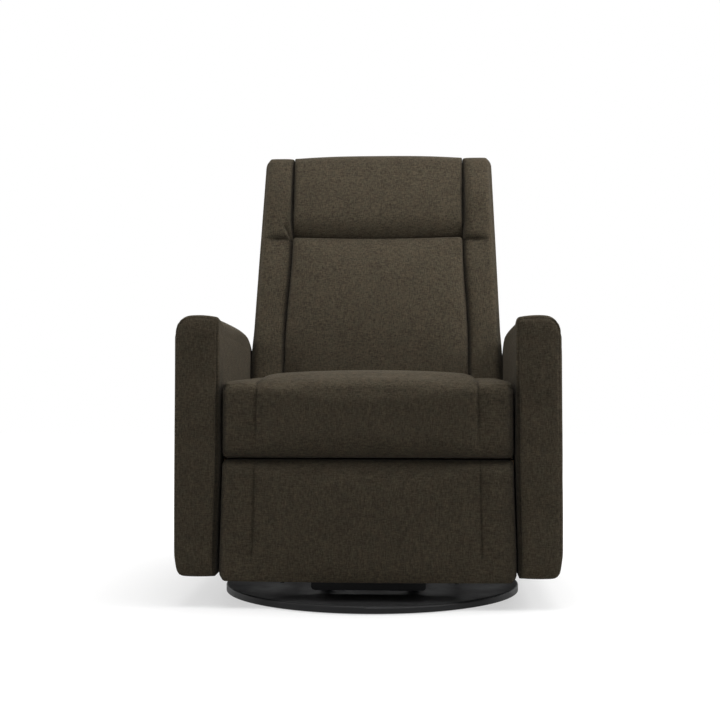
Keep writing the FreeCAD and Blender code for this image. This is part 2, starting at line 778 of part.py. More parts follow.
def arm_frame(name, side):
    """Plywood web with a rim: the box frame inside an arm."""
    gap = d.soft_gap
    inner = inner_half + d.arm_padding + gap
    width = d.arm_thick - 2 * (d.arm_padding + gap)
    low = d.arm_bottom + d.arm_face_radius
    full = arm_block(f"frame_block_{name}", side, inner, width, d.arm_padding + gap, low)
    rim_inset = d.arm_padding + gap + d.arm_frame_rim
    room = arm_block(f"frame_room_{name}", side, inner + d.arm_frame_web,
                     width - d.arm_frame_web + PAST, rim_inset, low + d.arm_frame_rim)
    tools = fuse("frame_tools", [room, bolt_cutters(side)])
    node(cut(f"frame_{name}", full, tools), f"arm_frame_{name}")


def rear_apron():
    """Upholstered panel that closes the back between the arms, under the backrest."""
    half = inner_half - d.soft_gap
    panel = block("apron", (-half, half), (d.apron_depth, d.apron_depth + d.apron_thick),
                  (d.apron_bottom, d.apron_top))
    node(panel, "rear_apron")


# ---------------------------------------------------------------- seat

def seat_rails():
    """Wooden rails across the side plates, under the ends of the seat springs."""
    z = (plate_top, seat_rail_top)
    x = (-inner_half, inner_half)
    node(block("front", x, (front_rail_start, front_rail_end), z), "seat_front_rail")
    node(block("rear", x, (d.rear_rail_depth, rear_rail_end), z), "seat_rear_rail")


def spring_wire(length, label):
    """A sinuous spring along +Y from the origin, in the XY plane.

    Its straight bars across, one pitch apart, are joined by half circles.
    """
    pitch = d.spring_pitch.number
    half = d.spring_half_width.number
    bends = round(length / pitch)
    step = length / bends
    edges = []
    side = 1
    start = FreeCAD.Vector(-half, 0, 0)
    for turn in range(bends + 1):
        end = FreeCAD.Vector(side * half, turn * step, 0)
        edges.append(Part.LineSegment(start, end).toShape())
        if turn < bends:
            top = FreeCAD.Vector(side * half, (turn + 1) * step, 0)
            crown = FreeCAD.Vector(side * (half + step / 2), (turn + 0.5) * step, 0)
            edges.append(Part.Arc(end, crown, top).toShape())
            start = top
            side = -side
    path = Part.Wire(edges)
    ring = Part.Circle(FreeCAD.Vector(-half, 0, 0), FreeCAD.Vector(1, 0, 0),
                       d.spring_wire_radius.number)
    profile = Part.Wire([ring.toShape()])
    spring = helper("Part::Feature", label)
    spring.Shape = path.makePipeShell([profile], True, False)
    return spring


def clip(label, x, y):
    """A spring clip lying on a rail, with the spring's end bar through it."""
    half = d.clip_width / 2
    side = d.clip_length / 2
    base = block(label, (x - half, x + half), (y - side, y + side), (0, d.clip_height))
    bore = rod(label + "_bore", x - half - PAST, x + half + PAST, y, d.clip_center_height,
               d.spring_wire_radius + d.bolt_play)
    return cut(label, base, bore)


def spring_bed(prefix, start, end, count, spacing):
    """Springs and clips in a flat bed: y from start to end, clips standing on z = 0."""
    springs = []
    clips = []
    for number in range(count):
        x = spacing * (number - (count - 1) / 2)
        spring = spring_wire(size_of(end).number - size_of(start).number, prefix + "_wire")
        place(spring, x, start, d.clip_center_height)
        springs.append(spring)
        for y in (start, end):
            clips.append(clip(prefix + "_clip", x, y))
    return group(prefix + "_wires", springs), group(prefix + "_clips", clips)


def seat_springs():
    start = front_rail_end - d.clip_length / 2
    end = d.rear_rail_depth + d.clip_length / 2
    count = int(d.seat_spring_count.number)
    wires, clips = spring_bed("seat", start, end, count, d.spring_spacing)
    place(wires, z=seat_rail_top)
    place(clips, z=seat_rail_top)
    node(wires, "seat_springs")
    node(clips, "seat_spring_clips")


def seat_cushion():
    """Box cushion with a raised middle section between two lower side sections."""
    rise = (d.seat_side_height - seat_bottom) / (seat_crown_height - seat_bottom)
    slant = d.seat_back_slant_depth
    crown_back = d.seat_back_depth + slant
    side_back = d.seat_back_depth + slant * rise
    low = [(-d.seat_reach, seat_bottom), (d.seat_back_depth, seat_bottom),
           (side_back, d.seat_side_height), (-d.seat_reach, d.seat_side_height)]
    high = [(-d.seat_reach, seat_bottom), (d.seat_back_depth, seat_bottom),
            (crown_back, seat_crown_height), (-d.seat_reach, seat_crown_height)]
    cushion = body("seat_cushion_body")
    pad(cushion, "YZ", low, 2 * seat_half)
    pad(cushion, "YZ", high, 2 * d.seat_seam_half_width, seat_half - d.seat_seam_half_width)
    front = -d.seat_reach

    def is_front_top(edge):
        at = middle(edge)
        return near(at.y, front) and runs_along(edge, "x") and at.z > seat_bottom.number + 1

    def is_front_side(edge):
        at = middle(edge)
        ends = near(at.x, 0) or near(at.x, 2 * seat_half)
        return near(at.y, front) and runs_along(edge, "z") and ends

    def is_long_top(edge):
        at = middle(edge)
        top = near(at.z, seat_crown_height) or near(at.z, d.seat_side_height)
        inner = near(at.z, d.seat_side_height) and not (near(at.x, 0) or near(at.x, 2 * seat_half))
        return runs_along(edge, "y") and top and not inner

    round_edges(cushion, is_front_side, d.seat_edge_radius)
    round_edges(cushion, is_front_top, d.seat_front_radius / 2)
    round_edges(cushion, is_long_top, d.seat_crown_rise / 2)
    place(cushion, x=-seat_half)
    node(cushion, "seat_cushion")


# ---------------------------------------------------------------- recliner mechanism

def recliner_plates():
    """Side plates on the cross tubes, which carry the footrest links and the back hinge."""
    boss = d.hinge_boss_radius
    back_end = d.hinge_depth + boss
    points = [(plate_front, d.control_height - d.plate_nose_drop),
              (lift[0] - d.plate_lift_margin, d.lift_height - d.plate_lift_drop),
              (lift[0] + d.plate_web_length, d.lift_height - d.plate_web_drop),
              (d.middle_tube_depth, tube_top), (rear_tube_end, tube_top),
              (back_end, d.hinge_height), (back_end - boss / 3, d.hinge_height + boss),
              (d.hinge_depth - boss, plate_top), (plate_front, plate_top)]
    for name, side in SIDES.items():
        low, high = span(side, d.plate_inner_half_width, d.plate_thick)
        plate = prism(f"plate_{name}", "YZ", points, d.plate_thick)
        place(plate, x=low)
        node(plate, f"recliner_plate_{name}")
    pins = []
    studs = ((lift, 1, d.stud_radius), (control, 3, d.stud_radius),
             (hinge, 1, d.hinge_pin_radius))
    for side in SIDES.values():
        pins += [plate_stud(side, *stud) for stud in studs]
    node(group("studs", pins), "recliner_studs")


def plate_stud(side, spot_yz, number, radius):
    """A stud welded on a side plate that holds the link in one layer."""
    inner, outer = layer_faces(number)
    head = inner - d.bore_play
    heads = [(head - d.stud_head, head, d.stud_head_radius)]
    if number > 1:
        heads.append((outer + d.bore_play, d.plate_inner_half_width, d.stud_head_radius))
    return headed_pin(head - d.stud_head, d.plate_inner_half_width, side, spot_yz, radius, heads)


def link(side, number, ends, bores, studs):
    """A footrest link in its layer: bores for other studs, and studs of its own."""
    x = layer(side, number)
    plate = stadium("link", x, ends[0], ends[1], d.link_width)
    cutters = []
    for spot_yz, radius in bores:
        cutters.append(holes("link_bore", x, [spot_yz], radius))
    plate = cut("link_plate", plate, fuse("link_bores", cutters)) if cutters else plate
    pieces = [plate] + [link_stud(side, number, *stud) for stud in studs]
    return fuse("footrest_link", pieces) if studs else plate


def link_stud(side, number, spot_yz, toward, headed):
    """A stud fixed to a link, through the link in the next layer on one side."""
    own_inner, own_outer = layer_faces(number)
    inner, outer = layer_faces(number + toward)
    if toward > 0:
        start = inner
        heads = []
        if headed:
            start = inner - d.bore_play - d.stud_head
            heads = [(start, inner - d.bore_play, d.stud_head_radius)]
        return headed_pin(start, own_outer, side, spot_yz, d.stud_radius, heads)
    return headed_pin(own_inner, outer, side, spot_yz, d.stud_radius, [])


def footrest_links():
    """The four links on each side, one node for each kind."""
    bore = d.stud_radius + d.bore_play
    loose = d.stud_radius + d.cross_play
    kinds = {
        "footrest_lift_links": (1, (lift, elbow), [(lift, bore), (elbow, bore)], []),
        "footrest_long_links": (2, (elbow, pad_pivot), [(cross, loose)],
                                [(elbow, -1, False), (pad_pivot, 1, True)]),
        "footrest_control_links": (3, (control, knee), [(control, bore)],
                                   [(cross, -1, False), (knee, 1, True)]),
        "footrest_tilt_links": (4, (knee, slot_top), [(knee, bore)],
                                [(slot_top, -1, False)]),
    }
    for label, (number, ends, bores, studs) in kinds.items():
        pair = [link(side, number, ends, bores, studs) for side in SIDES.values()]
        node(group(label, pair), label)


# ---------------------------------------------------------------- footrest panel

def footrest_bracket(side):
    """Plate with a foot on the board, a bore for the long link and the tilt link's slot."""
    x = layer(side, 3)
    foot_face = -footrest_back_reach
    rear = foot_face + d.bracket_foot_thick
    eye = d.bracket_eye_radius
    nose = pad_pivot[0] + eye
    knuckle = slot_top[0] + d.bracket_knuckle_width
    points = [(foot_face, d.bracket_foot_bottom), (rear, d.bracket_foot_bottom),
              (slot_top[0] + eye, slot_end[1] - eye), (knuckle, slot_top[1] + eye / 2),
              (nose, pad_pivot[1] - eye / 2), (nose, pad_pivot[1] + eye),
              (rear, d.bracket_foot_top), (foot_face, d.bracket_foot_top)]
    plate = prism("bracket_plate", "YZ", points, d.link_thick)
    place(plate, x=x[0])
    foot_low = layer_faces(3)[0] + d.link_thick - d.bracket_foot_width
    foot = block("bracket_foot", span(side, foot_low, d.bracket_foot_width),
                 (foot_face, rear), (d.bracket_foot_bottom, d.bracket_foot_top))
    slot = stadium("bracket_slot", (x[0] - PAST, x[1] + PAST), slot_top, slot_end,
                   2 * (d.stud_radius + d.slot_play))
    bore = holes("bracket_bore", x, [pad_pivot], d.stud_radius + d.bore_play)
    tools = fuse("bracket_tools", [slot, bore])
    return cut("bracket", fuse("bracket_solid", [plate, foot]), tools)


def board_screw_spots():
    """The (x, z) of the screws that hold the bracket feet to the board."""
    foot_middle = layer_faces(3)[1] - d.bracket_foot_width + d.board_screw_inset
    height = (d.bracket_foot_bottom + d.bracket_foot_top) / 2
    rows = [height + step * d.board_screw_spread for step in (-1, 0, 1)]
    return [(side * foot_middle, z) for side in SIDES.values() for z in rows]


def board_shank(x, z, radius, rear):
    """A screw's shank, or the bore for one, from rear through a foot into the board."""
    tip = -footrest_back_reach - d.board_screw_grip
    return along_y("board_screw_shank", (tip, rear), x, z, radius)


def footrest_panel():
    rear = d.bracket_foot_thick - footrest_back_reach
    bore = d.board_screw_radius + d.bolt_play
    bores = [board_shank(x, z, bore, rear + PAST) for x, z in board_screw_spots()]
    brackets = group("brackets", [footrest_bracket(side) for side in SIDES.values()])
    screw_bores = fuse("board_screw_bores", bores)
    node(cut("bored_brackets", brackets, screw_bores), "footrest_brackets")
    inset = d.footrest_board_inset
    board_half = seat_half - inset
    board = block("board", (-board_half, board_half), (-board_front_reach, -footrest_back_reach),
                  (d.footrest_bottom + inset, d.footrest_top - inset))
    node(cut("bored_board", board, screw_bores), "footrest_board")
    screws = []
    for x, z in board_screw_spots():
        shank = board_shank(x, z, d.board_screw_radius, rear)
        head = along_y("board_screw_head", (rear, rear + d.board_screw_head), x, z,
                       d.board_screw_head_radius)
        screws.append(fuse("board_screw", [shank, head]))
    node(group("board_screws", screws), "footrest_board_screws")
    points = [(-seat_half, d.footrest_bottom), (seat_half, d.footrest_bottom),
              (seat_half, d.footrest_top), (-seat_half, d.footrest_top)]
    cover = prism("footrest_body", "XZ", points, d.seat_reach - board_front_reach)
    round_edges(cover, lambda edge: runs_along(edge, "y"), d.footrest_edge_radius * 1.5)
    front = board_front_reach - d.seat_reach
    round_edges(cover, lambda edge: near(middle(edge).y, front), d.footrest_edge_radius)
    place(cover, y=-board_front_reach)
    node(cover, "footrest_pad")


# ---------------------------------------------------------------- backrest
# The backrest is drawn upright with its hinge at the origin: local +Y is to its rear
# and +Z up its length. stand_back then leans it and puts it at its hinge.

def stand_back(thing):
    place(thing, y=d.hinge_depth, z=d.hinge_height, axis=(1, 0, 0), angle=-d.back_lean)
    return thing


def back_node(thing, label):
    """Lean a finished piece of the backrest and keep it."""
    return node(stand_back(group(label + "_leaning", [thing])), label)


def slab_from_front(label, points, front, rear):
    """A slab with a front outline (x, z) between two local depths."""
    slab = body(label)
    pad(slab, "XZ", points, size_of(rear) - front, -size_of(rear))
    return slab


def back_frame():
    """Two posts and two rails, with a hinge bracket on the outside of each post."""
    rear = d.post_front + d.post_thick
    for name, side in SIDES.items():
        x = span(side, post_outer - d.post_width, d.post_width)
        upright = block("post", x, (d.post_front, rear), (d.post_bottom, d.post_top))
        back_node(upright, f"back_post_{name}")
    half = post_outer - d.post_width
    front = d.post_front + d.clip_height
    for name, low in (("lower", d.back_lower_rail), ("upper", d.back_upper_rail)):
        rail = block("back_rail", (-half, half), (front, front + d.back_rail_thick),
                     (low, low + d.back_rail_height))
        back_node(rail, f"back_{name}_rail")
    back_node(group("back_brackets", [back_bracket(side) for side in SIDES.values()]),
              "back_hinge_brackets")


def back_bracket(side):
    """Plate on the outside of a post, with the hinge bore at its foot."""
    x = layer(side, 1)
    rear = d.post_front + d.back_bracket_width
    eye = d.back_bracket_eye_radius
    points = [(-eye, -eye), (eye, -eye), (rear, d.post_bottom + d.back_bracket_step),
              (rear, d.back_bracket_top), (d.post_front, d.back_bracket_top),
              (d.post_front, d.bolster_bottom_height - d.back_bracket_gap), (-eye, eye)]
    plate = prism("back_bracket_plate", "YZ", points, d.link_thick)
    place(plate, x=x[0])
    bore = holes("hinge_bore", x, [(0, 0)], d.hinge_pin_radius + d.bore_play)
    return cut("back_bracket", plate, bore)


def back_springs():
    """Upright sinuous springs between the back rails, clipped to their front faces."""
    start = d.back_lower_rail + d.back_rail_height - d.clip_length / 2
    end = d.back_upper_rail + d.clip_length / 2
    count = int(d.back_spring_count.number)
    wires, clips = spring_bed("back", start, end, count, d.spring_spacing)
    face = d.post_front + d.clip_height
    for bed, label in ((wires, "back_springs"), (clips, "back_spring_clips")):
        place(bed, y=face, axis=(1, 0, 0), angle=90)
        back_node(bed, label)


def seam_half(height):
    """Half width of the middle section at a height up the back."""
    slope = (d.seam_half_bottom - d.seam_half_top) / (d.headrest_seam_height - d.back_bottom)
    return d.seam_half_bottom - (height - d.back_bottom) * slope


def back_pads():
    """Lumbar cushion, headrest and the two side bolsters."""
    front = -d.back_front
    bottom = d.lumbar_bottom
    seam = d.headrest_seam_height - d.soft_seam
    lower = [(-seam_half(bottom), bottom), (seam_half(bottom), bottom),
             (seam_half(seam), seam), (-seam_half(seam), seam)]
    cushion = slab_from_front("lumbar", lower, front, d.pad_rear_depth)
    round_edges(cushion, lambda edge: near(middle(edge).y, front), d.back_edge_radius)
    back_node(cushion, "back_cushion")

    top_half = d.seam_half_top
    low = d.headrest_seam_height
    cap_low = d.post_top + d.post_cover
    upper = [(-top_half, low), (top_half, low), (top_half, d.headrest_top_height),
             (-top_half, d.headrest_top_height)]
    cap = [(-top_half, cap_low), (top_half, cap_low), (top_half, d.headrest_top_height),
           (-top_half, d.headrest_top_height)]
    head_front = front - d.headrest_proud_depth
    headrest = slab_from_front("headrest_body", upper, head_front, d.pad_rear_depth)
    pad(headrest, "XZ", cap, d.back_panel_front - d.pad_rear_depth, -d.back_panel_front)
    round_edges(headrest, lambda edge: near(middle(edge).y, head_front), d.back_edge_radius)
    back_node(headrest, "headrest_cushion")
    for name, side in SIDES.items():
        bolster(name, side)


def bolster(name, side):
    """Side cushion of the back, around the outside and over the top of a post."""
    low = d.bolster_bottom_height
    top = d.bolster_top_height
    gap = d.soft_seam
    inner_low = seam_half(low) + gap
    inner_high = d.seam_half_top + gap
    wrap = bracket_outer + d.soft_gap
    cap_low = d.post_top + d.post_cover
    face = [(inner_low, low), (d.bolster_half, low), (d.bolster_half, d.bolster_taper_start),
            (d.bolster_half_top, top), (inner_high, top), (inner_high, d.headrest_seam_height)]
    shell = [(wrap, low), (d.bolster_half, low), (d.bolster_half, d.bolster_taper_start),
             (d.bolster_half_top, top), (inner_high, top), (inner_high, cap_low),
             (wrap, cap_low)]
    if side < 0:
        face = [(-across, up) for across, up in reversed(face)]
        shell = [(-across, up) for across, up in reversed(shell)]
    front = -d.back_front
    cushion = slab_from_front(f"bolster_{name}", face, front, d.pad_rear_depth)
    pad(cushion, "XZ", shell, d.back_panel_front - d.pad_rear_depth, -d.back_panel_front)
    corner_x = side * d.bolster_half_top

    def is_top_corner(edge):
        return near(middle(edge).x, corner_x) and near(middle(edge).z, top)

    round_edges(cushion, is_top_corner, d.bolster_corner_radius)
    round_edges(cushion, lambda edge: near(middle(edge).y, front), d.back_edge_radius)
    back_node(cushion, f"back_bolster_{name}")


def back_outer_panel():
    """Upholstered panel that closes the back from behind."""
    inset = d.back_panel_inset
    half = d.bolster_half - inset
    half_top = d.bolster_half_top - inset
    low = d.back_bottom
    top = d.bolster_top_height - inset
    points = [(-half, low), (half, low), (half, d.bolster_taper_start), (half_top, top),
              (-half_top, top), (-half, d.bolster_taper_start)]
    front = d.back_panel_front
    rear = front + d.back_panel_thick
    panel = slab_from_front("outer_panel", points, front, rear)
    round_edges(panel, lambda edge: near(middle(edge).y, rear), d.back_panel_thick / 2)
    back_node(panel, "back_outer_panel")


# ---------------------------------------------------------------- release handle

bezel_spots = {
    "y": (-d.bezel_reach - d.bezel_length / 2, -d.bezel_reach + d.bezel_length / 2),
    "z": (d.bezel_height - d.bezel_tall / 2, d.bezel_height + d.bezel_tall / 2),
}


def shrink(pair, amount):
    return (pair[0] + amount, pair[1] - amount)


def bezel_cutter():
    """The opening in the arm's side for the bezel's cup."""
    gap = d.soft_gap
    x = (-outer_half - PAST, d.bezel_sink - outer_half + gap)
    return block("bezel_opening", x, shrink(bezel_spots["y"], d.bezel_lip - gap),
                 shrink(bezel_spots["z"], d.bezel_lip - gap))


def release_bezel():
    """Moulded cup with a lip, let into the arm's side."""
    lip_x = (-outer_half - d.bezel_lip_thick, -outer_half)
    cup_x = (-outer_half, d.bezel_sink - outer_half)
    cup_y = shrink(bezel_spots["y"], d.bezel_lip)
    cup_z = shrink(bezel_spots["z"], d.bezel_lip)
    lip = block("lip", lip_x, bezel_spots["y"], bezel_spots["z"])
    cup = block("cup", cup_x, cup_y, cup_z)
    room_y = shrink(cup_y, d.bezel_wall)
    room_z = shrink(cup_z, d.bezel_wall)
    room = block("room", (lip_x[0] - PAST, cup_x[1] - d.bezel_floor), room_y, room_z)
    y_ends = shrink(room_y, -d.handle_pin_reach - PAST)
    pivot_x, pivot_z = handle_pivot(room_z)
    socket = along_y("pin_socket", y_ends, pivot_x, pivot_z, d.handle_pin_radius + d.bore_play)
    inside = fuse("bezel_inside", [room, socket])
    node(cut("bezel_shell", fuse("bezel_outside", [lip, cup]), inside), "release_bezel")
    release_handle(room_y, room_z)


def handle_pivot(room_z):
    """The handle's hinge axis, as (x, z)."""
    inset = d.handle_barrel_radius + d.handle_face_inset
    return (inset - outer_half, room_z[1] - d.handle_barrel_radius - d.handle_top_gap)


def along_y(label, y, x, z, radius):
    """A cylinder along Y."""
    cylinder = helper("Part::Cylinder", label)
    bind(cylinder, "Radius", radius)
    bind(cylinder, "Height", y[1] - y[0])
    place(cylinder, x, y[0], z, axis=(1, 0, 0), angle=-90)
    return cylinder


def release_handle(room_y, room_z):
    """Flap that is pulled outwards about the barrel along its top edge."""
    pivot_x, pivot_z = handle_pivot(room_z)
    y = shrink(room_y, d.handle_side_gap)
    x = (pivot_x - d.handle_thick / 2, pivot_x + d.handle_thick / 2)
    flap = block("flap", x, y, (pivot_z - d.handle_tall, pivot_z))
    barrel = along_y("barrel", y, pivot_x, pivot_z, d.handle_barrel_radius)
    pin_y = shrink(room_y, -d.handle_pin_reach)
    pin = along_y("handle_pin", pin_y, pivot_x, pivot_z, d.handle_pin_radius)
    node(fuse("handle", [flap, barrel, pin]), "release_handle")


def release_cable():
    """Cable from under the handle's cup, down inside the arm and across to the plate."""
    x = -d.cable_down_half_width
    y, low = cable_spot
    top = bezel_spots["z"][0] + d.bezel_lip
    bend = d.cable_bend_radius
    plate_face = -d.plate_inner_half_width - d.plate_thick
    down = post("cable_down", x, y, low + bend, top, d.cable_radius)
    across = rod("cable_across", x + bend, plate_face, y, low, d.cable_radius)
    corner = helper("Part::Torus", "cable_corner")
    bind(corner, "Radius1", bend)
    bind(corner, "Radius2", d.cable_radius)
    corner.Angle3 = 90
    place(corner, x + bend, y, low + bend, axis=(0, -1, 1), angle=180)
    upper = post("ferrule", x, y, top - d.ferrule_length, top, d.ferrule_radius)
    lower = rod("ferrule", plate_face - d.ferrule_length, plate_face, y, low, d.ferrule_radius)
    node(fuse("cable", [down, corner, across, upper, lower]), "release_cable")


# ---------------------------------------------------------------- build and write

def build():
    floor_glides()
    base_disc()
    swivel()
    glider_frame()
    glide_links()
    mechanism_rails()
    cross_tubes()
    frame_bolts()
    arms()
    rear_apron()
    seat_rails()
    seat_springs()
    seat_cushion()
    recliner_plates()
    footrest_links()
    footrest_panel()
    back_frame()
    back_springs()
    back_pads()
    back_outer_panel()
    release_bezel()
    release_cable()


def check():
    """Stop on any failed object, and on any sub-part without a valid solid."""
    for thing in doc.Objects:
        if "Invalid" in thing.State or "Error" in thing.State:
            raise RuntimeError(f"{thing.Name} ({thing.Label}) did not compute: {thing.State}")
    for thing in nodes:
        shape = thing.Shape
        if shape.isNull() or not shape.isValid() or not shape.Solids:
            raise RuntimeError(f"{thing.Label} has no valid solid")


def write():
    os.makedirs(OUT_FOLDER, exist_ok=True)
    for thing in nodes:
        thing.Shape.exportStep(os.path.join(OUT_FOLDER, thing.Label + ".step"))


build()
doc.recompute()
check()
write()
print(len(nodes), "nodes written")
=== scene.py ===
"""Looks of the swivel glider recliner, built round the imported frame.

Shapes are drawn in millimetres and turned into metres when a mesh is made. The
upholstery is made of gridded closed forms: each is rounded, domed and creased along
its seams, puffed by a cloth simulation that is held at the seams, and smoothed.
"""
import json
import math

import bpy
import numpy as np
from mathutils import Matrix


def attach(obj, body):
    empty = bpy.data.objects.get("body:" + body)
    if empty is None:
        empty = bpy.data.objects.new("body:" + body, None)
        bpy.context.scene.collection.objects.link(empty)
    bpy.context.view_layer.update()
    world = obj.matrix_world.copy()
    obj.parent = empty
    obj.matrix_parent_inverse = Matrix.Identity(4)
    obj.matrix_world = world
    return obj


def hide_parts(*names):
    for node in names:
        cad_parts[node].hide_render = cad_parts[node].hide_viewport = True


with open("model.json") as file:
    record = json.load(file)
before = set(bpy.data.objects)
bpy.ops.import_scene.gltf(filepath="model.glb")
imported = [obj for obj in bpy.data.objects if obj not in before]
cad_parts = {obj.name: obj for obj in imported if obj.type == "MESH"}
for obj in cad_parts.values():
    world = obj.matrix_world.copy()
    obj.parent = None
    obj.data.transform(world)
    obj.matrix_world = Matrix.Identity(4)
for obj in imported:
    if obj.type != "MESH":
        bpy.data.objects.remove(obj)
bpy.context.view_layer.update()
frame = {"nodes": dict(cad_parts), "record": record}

scene = bpy.context.scene
MM = 0.001
X, Y, Z = 0, 1, 2

# ------------ camera, light, floor

CAMERA_AT = (0.122, -2.949, 0.494)
CAMERA_TURN = math.radians(2.88)
LENS = 68.1
# name, place, the point it faces, width and height (m), power (W)
LAMPS = (
    ("overhead", (0.3, -0.45, 2.8), (0.0, 0.05, 0.4), (2.8, 1.6), 57),
    ("right", (1.6, -0.1, 1.35), (0.0, 0.2, 0.6), (0.9, 0.9), 20),
    ("left", (-1.6, -0.1, 1.0), (0.0, 0.2, 0.5), (0.9, 0.9), 9),
    ("front", (0.3, -2.6, 1.5), (0.0, 0.0, 0.45), (2.0, 1.6), 4),
    ("back", (-0.4, 2.6, 1.9), (0.0, 0.2, 0.5), (2.2, 1.4), 16),
)
WORLD_LIGHT = 0.17
FLOOR_HALF = 6.0
FLOOR_GREY = 0.45
# the floor's glow, from beside the object to white further out: (distance in m, strength)
GLOW_NEAR, GLOW_FAR = (0.3, 0.55), (2.0, 1.0)


def add_camera():
    data = bpy.data.cameras.new("camera")
    data.lens = LENS
    camera = bpy.data.objects.new("camera", data)
    camera.location = CAMERA_AT
    camera.rotation_euler = (math.radians(90), 0, CAMERA_TURN)
    scene.collection.objects.link(camera)
    scene.camera = camera


def add_lamps():
    """Soft lamps, each turned to the point that it faces."""
    for name, place, aim, size, power in LAMPS:
        data = bpy.data.lights.new(name, "AREA")
        data.shape = "RECTANGLE"
        data.size, data.size_y = size
        data.energy = power
        lamp = bpy.data.objects.new(name, data)
        scene.collection.objects.link(lamp)
        lamp.location = place
        away = np.array(place, float) - np.array(aim, float)
        back = away / np.linalg.norm(away)
        side = np.cross((0, 0, 1), back)
        side = side / np.linalg.norm(side)
        up = np.cross(back, side)
        turn = Matrix.Identity(3)
        for row in range(3):
            turn[row][0], turn[row][1], turn[row][2] = side[row], up[row], back[row]
        lamp.rotation_euler = turn.to_euler()


def seen_directly(tree):
    """1 for rays from the camera, from mirrors and through glass."""
    path = tree.nodes.new("ShaderNodeLightPath")
    total = path.outputs["Is Camera Ray"]
    for kind in ("Is Glossy Ray", "Is Transmission Ray"):
        either = tree.nodes.new("ShaderNodeMath")
        either.operation = "MAXIMUM"
        tree.links.new(total, either.inputs[0])
        tree.links.new(path.outputs[kind], either.inputs[1])
        total = either.outputs[0]
    return total


def add_world():
    """Plain light all round, which is white to the camera, mirrors and glass."""
    world = bpy.data.worlds.new("studio")
    world.use_nodes = True
    tree = world.node_tree
    tree.nodes.clear()
    mix = tree.nodes.new("ShaderNodeMixShader")
    tree.links.new(seen_directly(tree), mix.inputs[0])
    for place, strength in ((1, WORLD_LIGHT), (2, 1.0)):
        light = tree.nodes.new("ShaderNodeBackground")
        light.inputs["Color"].default_value = (1, 1, 1, 1)
        light.inputs["Strength"].default_value = strength
        tree.links.new(light.outputs[0], mix.inputs[place])
    output = tree.nodes.new("ShaderNodeOutputWorld")
    tree.links.new(mix.outputs[0], output.inputs["Surface"])
    scene.world = world


def add_floor():
    """A pale floor that is white where the light is full and keeps the shadows."""
    half = FLOOR_HALF
    mesh = bpy.data.meshes.new("floor")
    corners = [(-half, -half, 0), (half, -half, 0), (half, half, 0), (-half, half, 0)]
    mesh.from_pydata(corners, [], [(0, 1, 2, 3)])
    floor = bpy.data.objects.new("floor", mesh)
    scene.collection.objects.link(floor)
    material = bpy.data.materials.new("floor")
    material.use_nodes = True
    tree = material.node_tree
    tree.nodes.clear()
    diffuse = tree.nodes.new("ShaderNodeBsdfDiffuse")
    diffuse.inputs["Color"].default_value = (FLOOR_GREY, FLOOR_GREY, FLOOR_GREY, 1)
    glow = tree.nodes.new("ShaderNodeEmission")
    glow.inputs["Color"].default_value = (1, 1, 1, 1)
    place = tree.nodes.new("ShaderNodeTexCoord")
    away = tree.nodes.new("ShaderNodeVectorMath")
    away.operation = "LENGTH"
    tree.links.new(place.outputs["Object"], away.inputs[0])
    lift = tree.nodes.new("ShaderNodeMapRange")
    for name, (distance, strength) in (("Min", GLOW_NEAR), ("Max", GLOW_FAR)):
        lift.inputs["From " + name].default_value = distance
        lift.inputs["To " + name].default_value = strength
    tree.links.new(away.outputs["Value"], lift.inputs["Value"])
    strength = tree.nodes.new("ShaderNodeMath")
    strength.operation = "MULTIPLY"
    tree.links.new(seen_directly(tree), strength.inputs[0])
    tree.links.new(lift.outputs["Result"], strength.inputs[1])
    tree.links.new(strength.outputs[0], glow.inputs["Strength"])
    both = tree.nodes.new("ShaderNodeAddShader")
    tree.links.new(diffuse.outputs[0], both.inputs[0])
    tree.links.new(glow.outputs[0], both.inputs[1])
    output = tree.nodes.new("ShaderNodeOutputMaterial")
    tree.links.new(both.outputs[0], output.inputs["Surface"])
    floor.data.materials.append(material)


# ------------ materials

